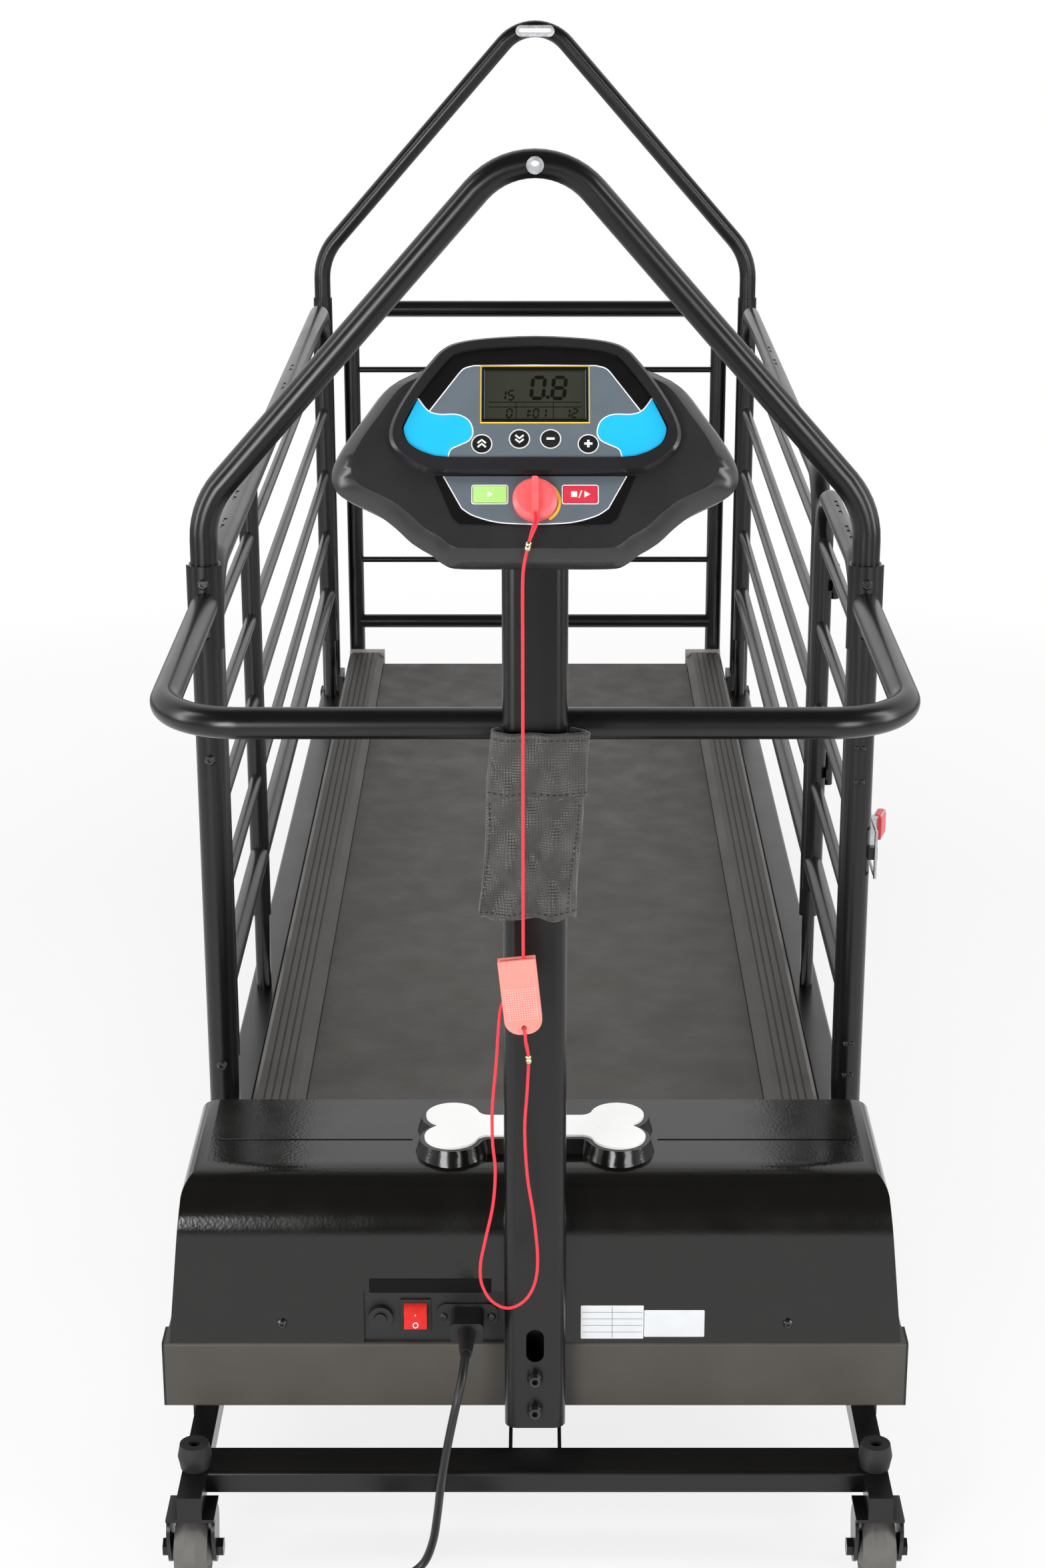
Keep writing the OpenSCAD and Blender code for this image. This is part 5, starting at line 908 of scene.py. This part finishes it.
# %% [markdown]
# ## Floor, light and background
# The picture is a plain studio shot: an even white ground with a faint shadow, a large soft light from
# above, two lower ones in front and a strip at each side that draws long highlights down the tubes. The
# floor and the world turn pure white only for what the camera and mirrors see, so the light on the object
# stays at a plain level. The backdrop and side walls are white in mirrors too. The ceiling and the side
# where the camera stands are dark, as they are in a studio, which keeps rounded black shoulders black.

# %% Floor
# Matt paint: a plain white that takes a soft shadow.
floor_paint, tree, shader = new_material("matt_white_studio_floor", "#f4f4f4", 0.9)
output = tree.nodes["Material Output"]
paths = add(tree, "ShaderNodeLightPath")
far = add(tree, "ShaderNodeTexCoord")
reach = add(tree, "ShaderNodeVectorMath", {0: far.outputs["Object"]}, operation="LENGTH")


def by_reach(near, beyond, low, high):
    """A value that changes from low to high with the distance from the object."""
    return add(tree, "ShaderNodeMapRange", {"Value": reach.outputs["Value"], "From Min": near,
               "From Max": beyond, "To Min": low, "To Max": high}).outputs["Result"]


paper_edge = add(tree, "ShaderNodeMix", {"Factor": by_reach(1.6, 2.8, 0.0, 1.0)}, data_type="RGBA")
paper_edge.inputs[6].default_value = colour("#f4f4f4")
paper_edge.inputs[7].default_value = colour("#6a6a6a")
tree.links.new(paper_edge.outputs[2], shader.inputs["Base Color"])
seen = add(tree, "ShaderNodeMath", {0: paths.outputs["Is Camera Ray"],
           1: paths.outputs["Is Transmission Ray"]}, operation="MAXIMUM")
seen = add(tree, "ShaderNodeMath", {0: seen.outputs[0], 1: by_reach(0.9, 2.2, 0.8, 1.0)},
           operation="MULTIPLY")
mirrored_floor = add(tree, "ShaderNodeMath", {0: paths.outputs["Is Glossy Ray"],
                     1: by_reach(1.5, 2.7, 1.0, 0.2)}, operation="MULTIPLY")
amount = add(tree, "ShaderNodeMath", {0: seen.outputs[0], 1: mirrored_floor.outputs[0]}, operation="MAXIMUM")
white = add(tree, "ShaderNodeEmission", {"Color": (1, 1, 1, 1), "Strength": 1.0})
blend = add(tree, "ShaderNodeMixShader", {0: amount.outputs[0], 1: shader.outputs[0], 2: white.outputs[0]})
tree.links.new(blend.outputs[0], output.inputs["Surface"])
floor_mesh = bmesh.new()
bmesh.ops.create_grid(floor_mesh, x_segments=1, y_segments=1, size=8)
floor_data = bpy.data.meshes.new("studio_floor")
floor_mesh.to_mesh(floor_data)
floor_mesh.free()
floor_data.materials.append(floor_paint)
floor = bpy.data.objects.new("studio_floor", floor_data)
floor.location = (0, 0, -0.0005)
scene.collection.objects.link(floor)

# %% World
world = bpy.data.worlds.new("studio_white")
world.use_nodes = True
scene.world = world
tree = world.node_tree
paths = add(tree, "ShaderNodeLightPath")
seen = add(tree, "ShaderNodeMath", {0: paths.outputs["Is Camera Ray"],
           1: paths.outputs["Is Transmission Ray"]}, operation="MAXIMUM")
place = add(tree, "ShaderNodeTexCoord")
to_the_dark = (0, -0.7, 1)      # up, and towards the camera's side
height = add(tree, "ShaderNodeVectorMath", {0: place.outputs["Generated"], 1: to_the_dark},
             operation="DOT_PRODUCT")
wall = add(tree, "ShaderNodeMapRange", {"Value": height.outputs["Value"], "From Min": 0.3, "From Max": 0.7,
           "To Min": 0.8, "To Max": 0.08})
mirrored_wall = add(tree, "ShaderNodeMapRange", {"Value": height.outputs["Value"], "From Min": 0.3,
                    "From Max": 0.7, "To Min": 1.0, "To Max": 0.08})
in_mirrors = add(tree, "ShaderNodeMath", {0: paths.outputs["Is Glossy Ray"],
                 1: mirrored_wall.outputs["Result"]}, operation="MULTIPLY")
level = add(tree, "ShaderNodeMath", {0: seen.outputs[0], 1: in_mirrors.outputs[0]}, operation="MAXIMUM")
level = add(tree, "ShaderNodeMath", {0: level.outputs[0], 1: wall.outputs["Result"]}, operation="MAXIMUM")
sky = tree.nodes["Background"]
sky.inputs["Color"].default_value = (1, 1, 1, 1)
tree.links.new(level.outputs[0], sky.inputs["Strength"])

# %% Lamps
def soft_lamp(name, place, target, width, height, watts):
    lamp = bpy.data.lights.new(name, "AREA")
    lamp.shape = "RECTANGLE"
    lamp.size, lamp.size_y = width, height
    lamp.energy = watts
    made = bpy.data.objects.new(name, lamp)
    made.location = place
    made.rotation_euler = (Vector(target) - Vector(place)).to_track_quat("-Z", "Y").to_euler()
    scene.collection.objects.link(made)
    return made


overhead = soft_lamp("overhead_scrim", (0, -0.4, 3.4), (0, 0, 0.4), 2.6, 2.6, 46)
overhead.visible_glossy = False
soft_lamp("left_key_softbox", (-1.2, -3.4, 0.9), (0, -0.6, 0.75), 1.1, 1.1, 48)
soft_lamp("right_fill_softbox", (1.5, -3.3, 0.9), (0, -0.6, 0.75), 1.1, 1.1, 28)
soft_lamp("left_strip", (-2.3, -1.2, 1.5), (0, -0.2, 0.6), 0.4, 2.4, 28)
soft_lamp("right_strip", (2.3, -1.2, 1.5), (0, -0.2, 0.6), 0.4, 2.4, 28)
scene.view_settings.view_transform = "Standard"
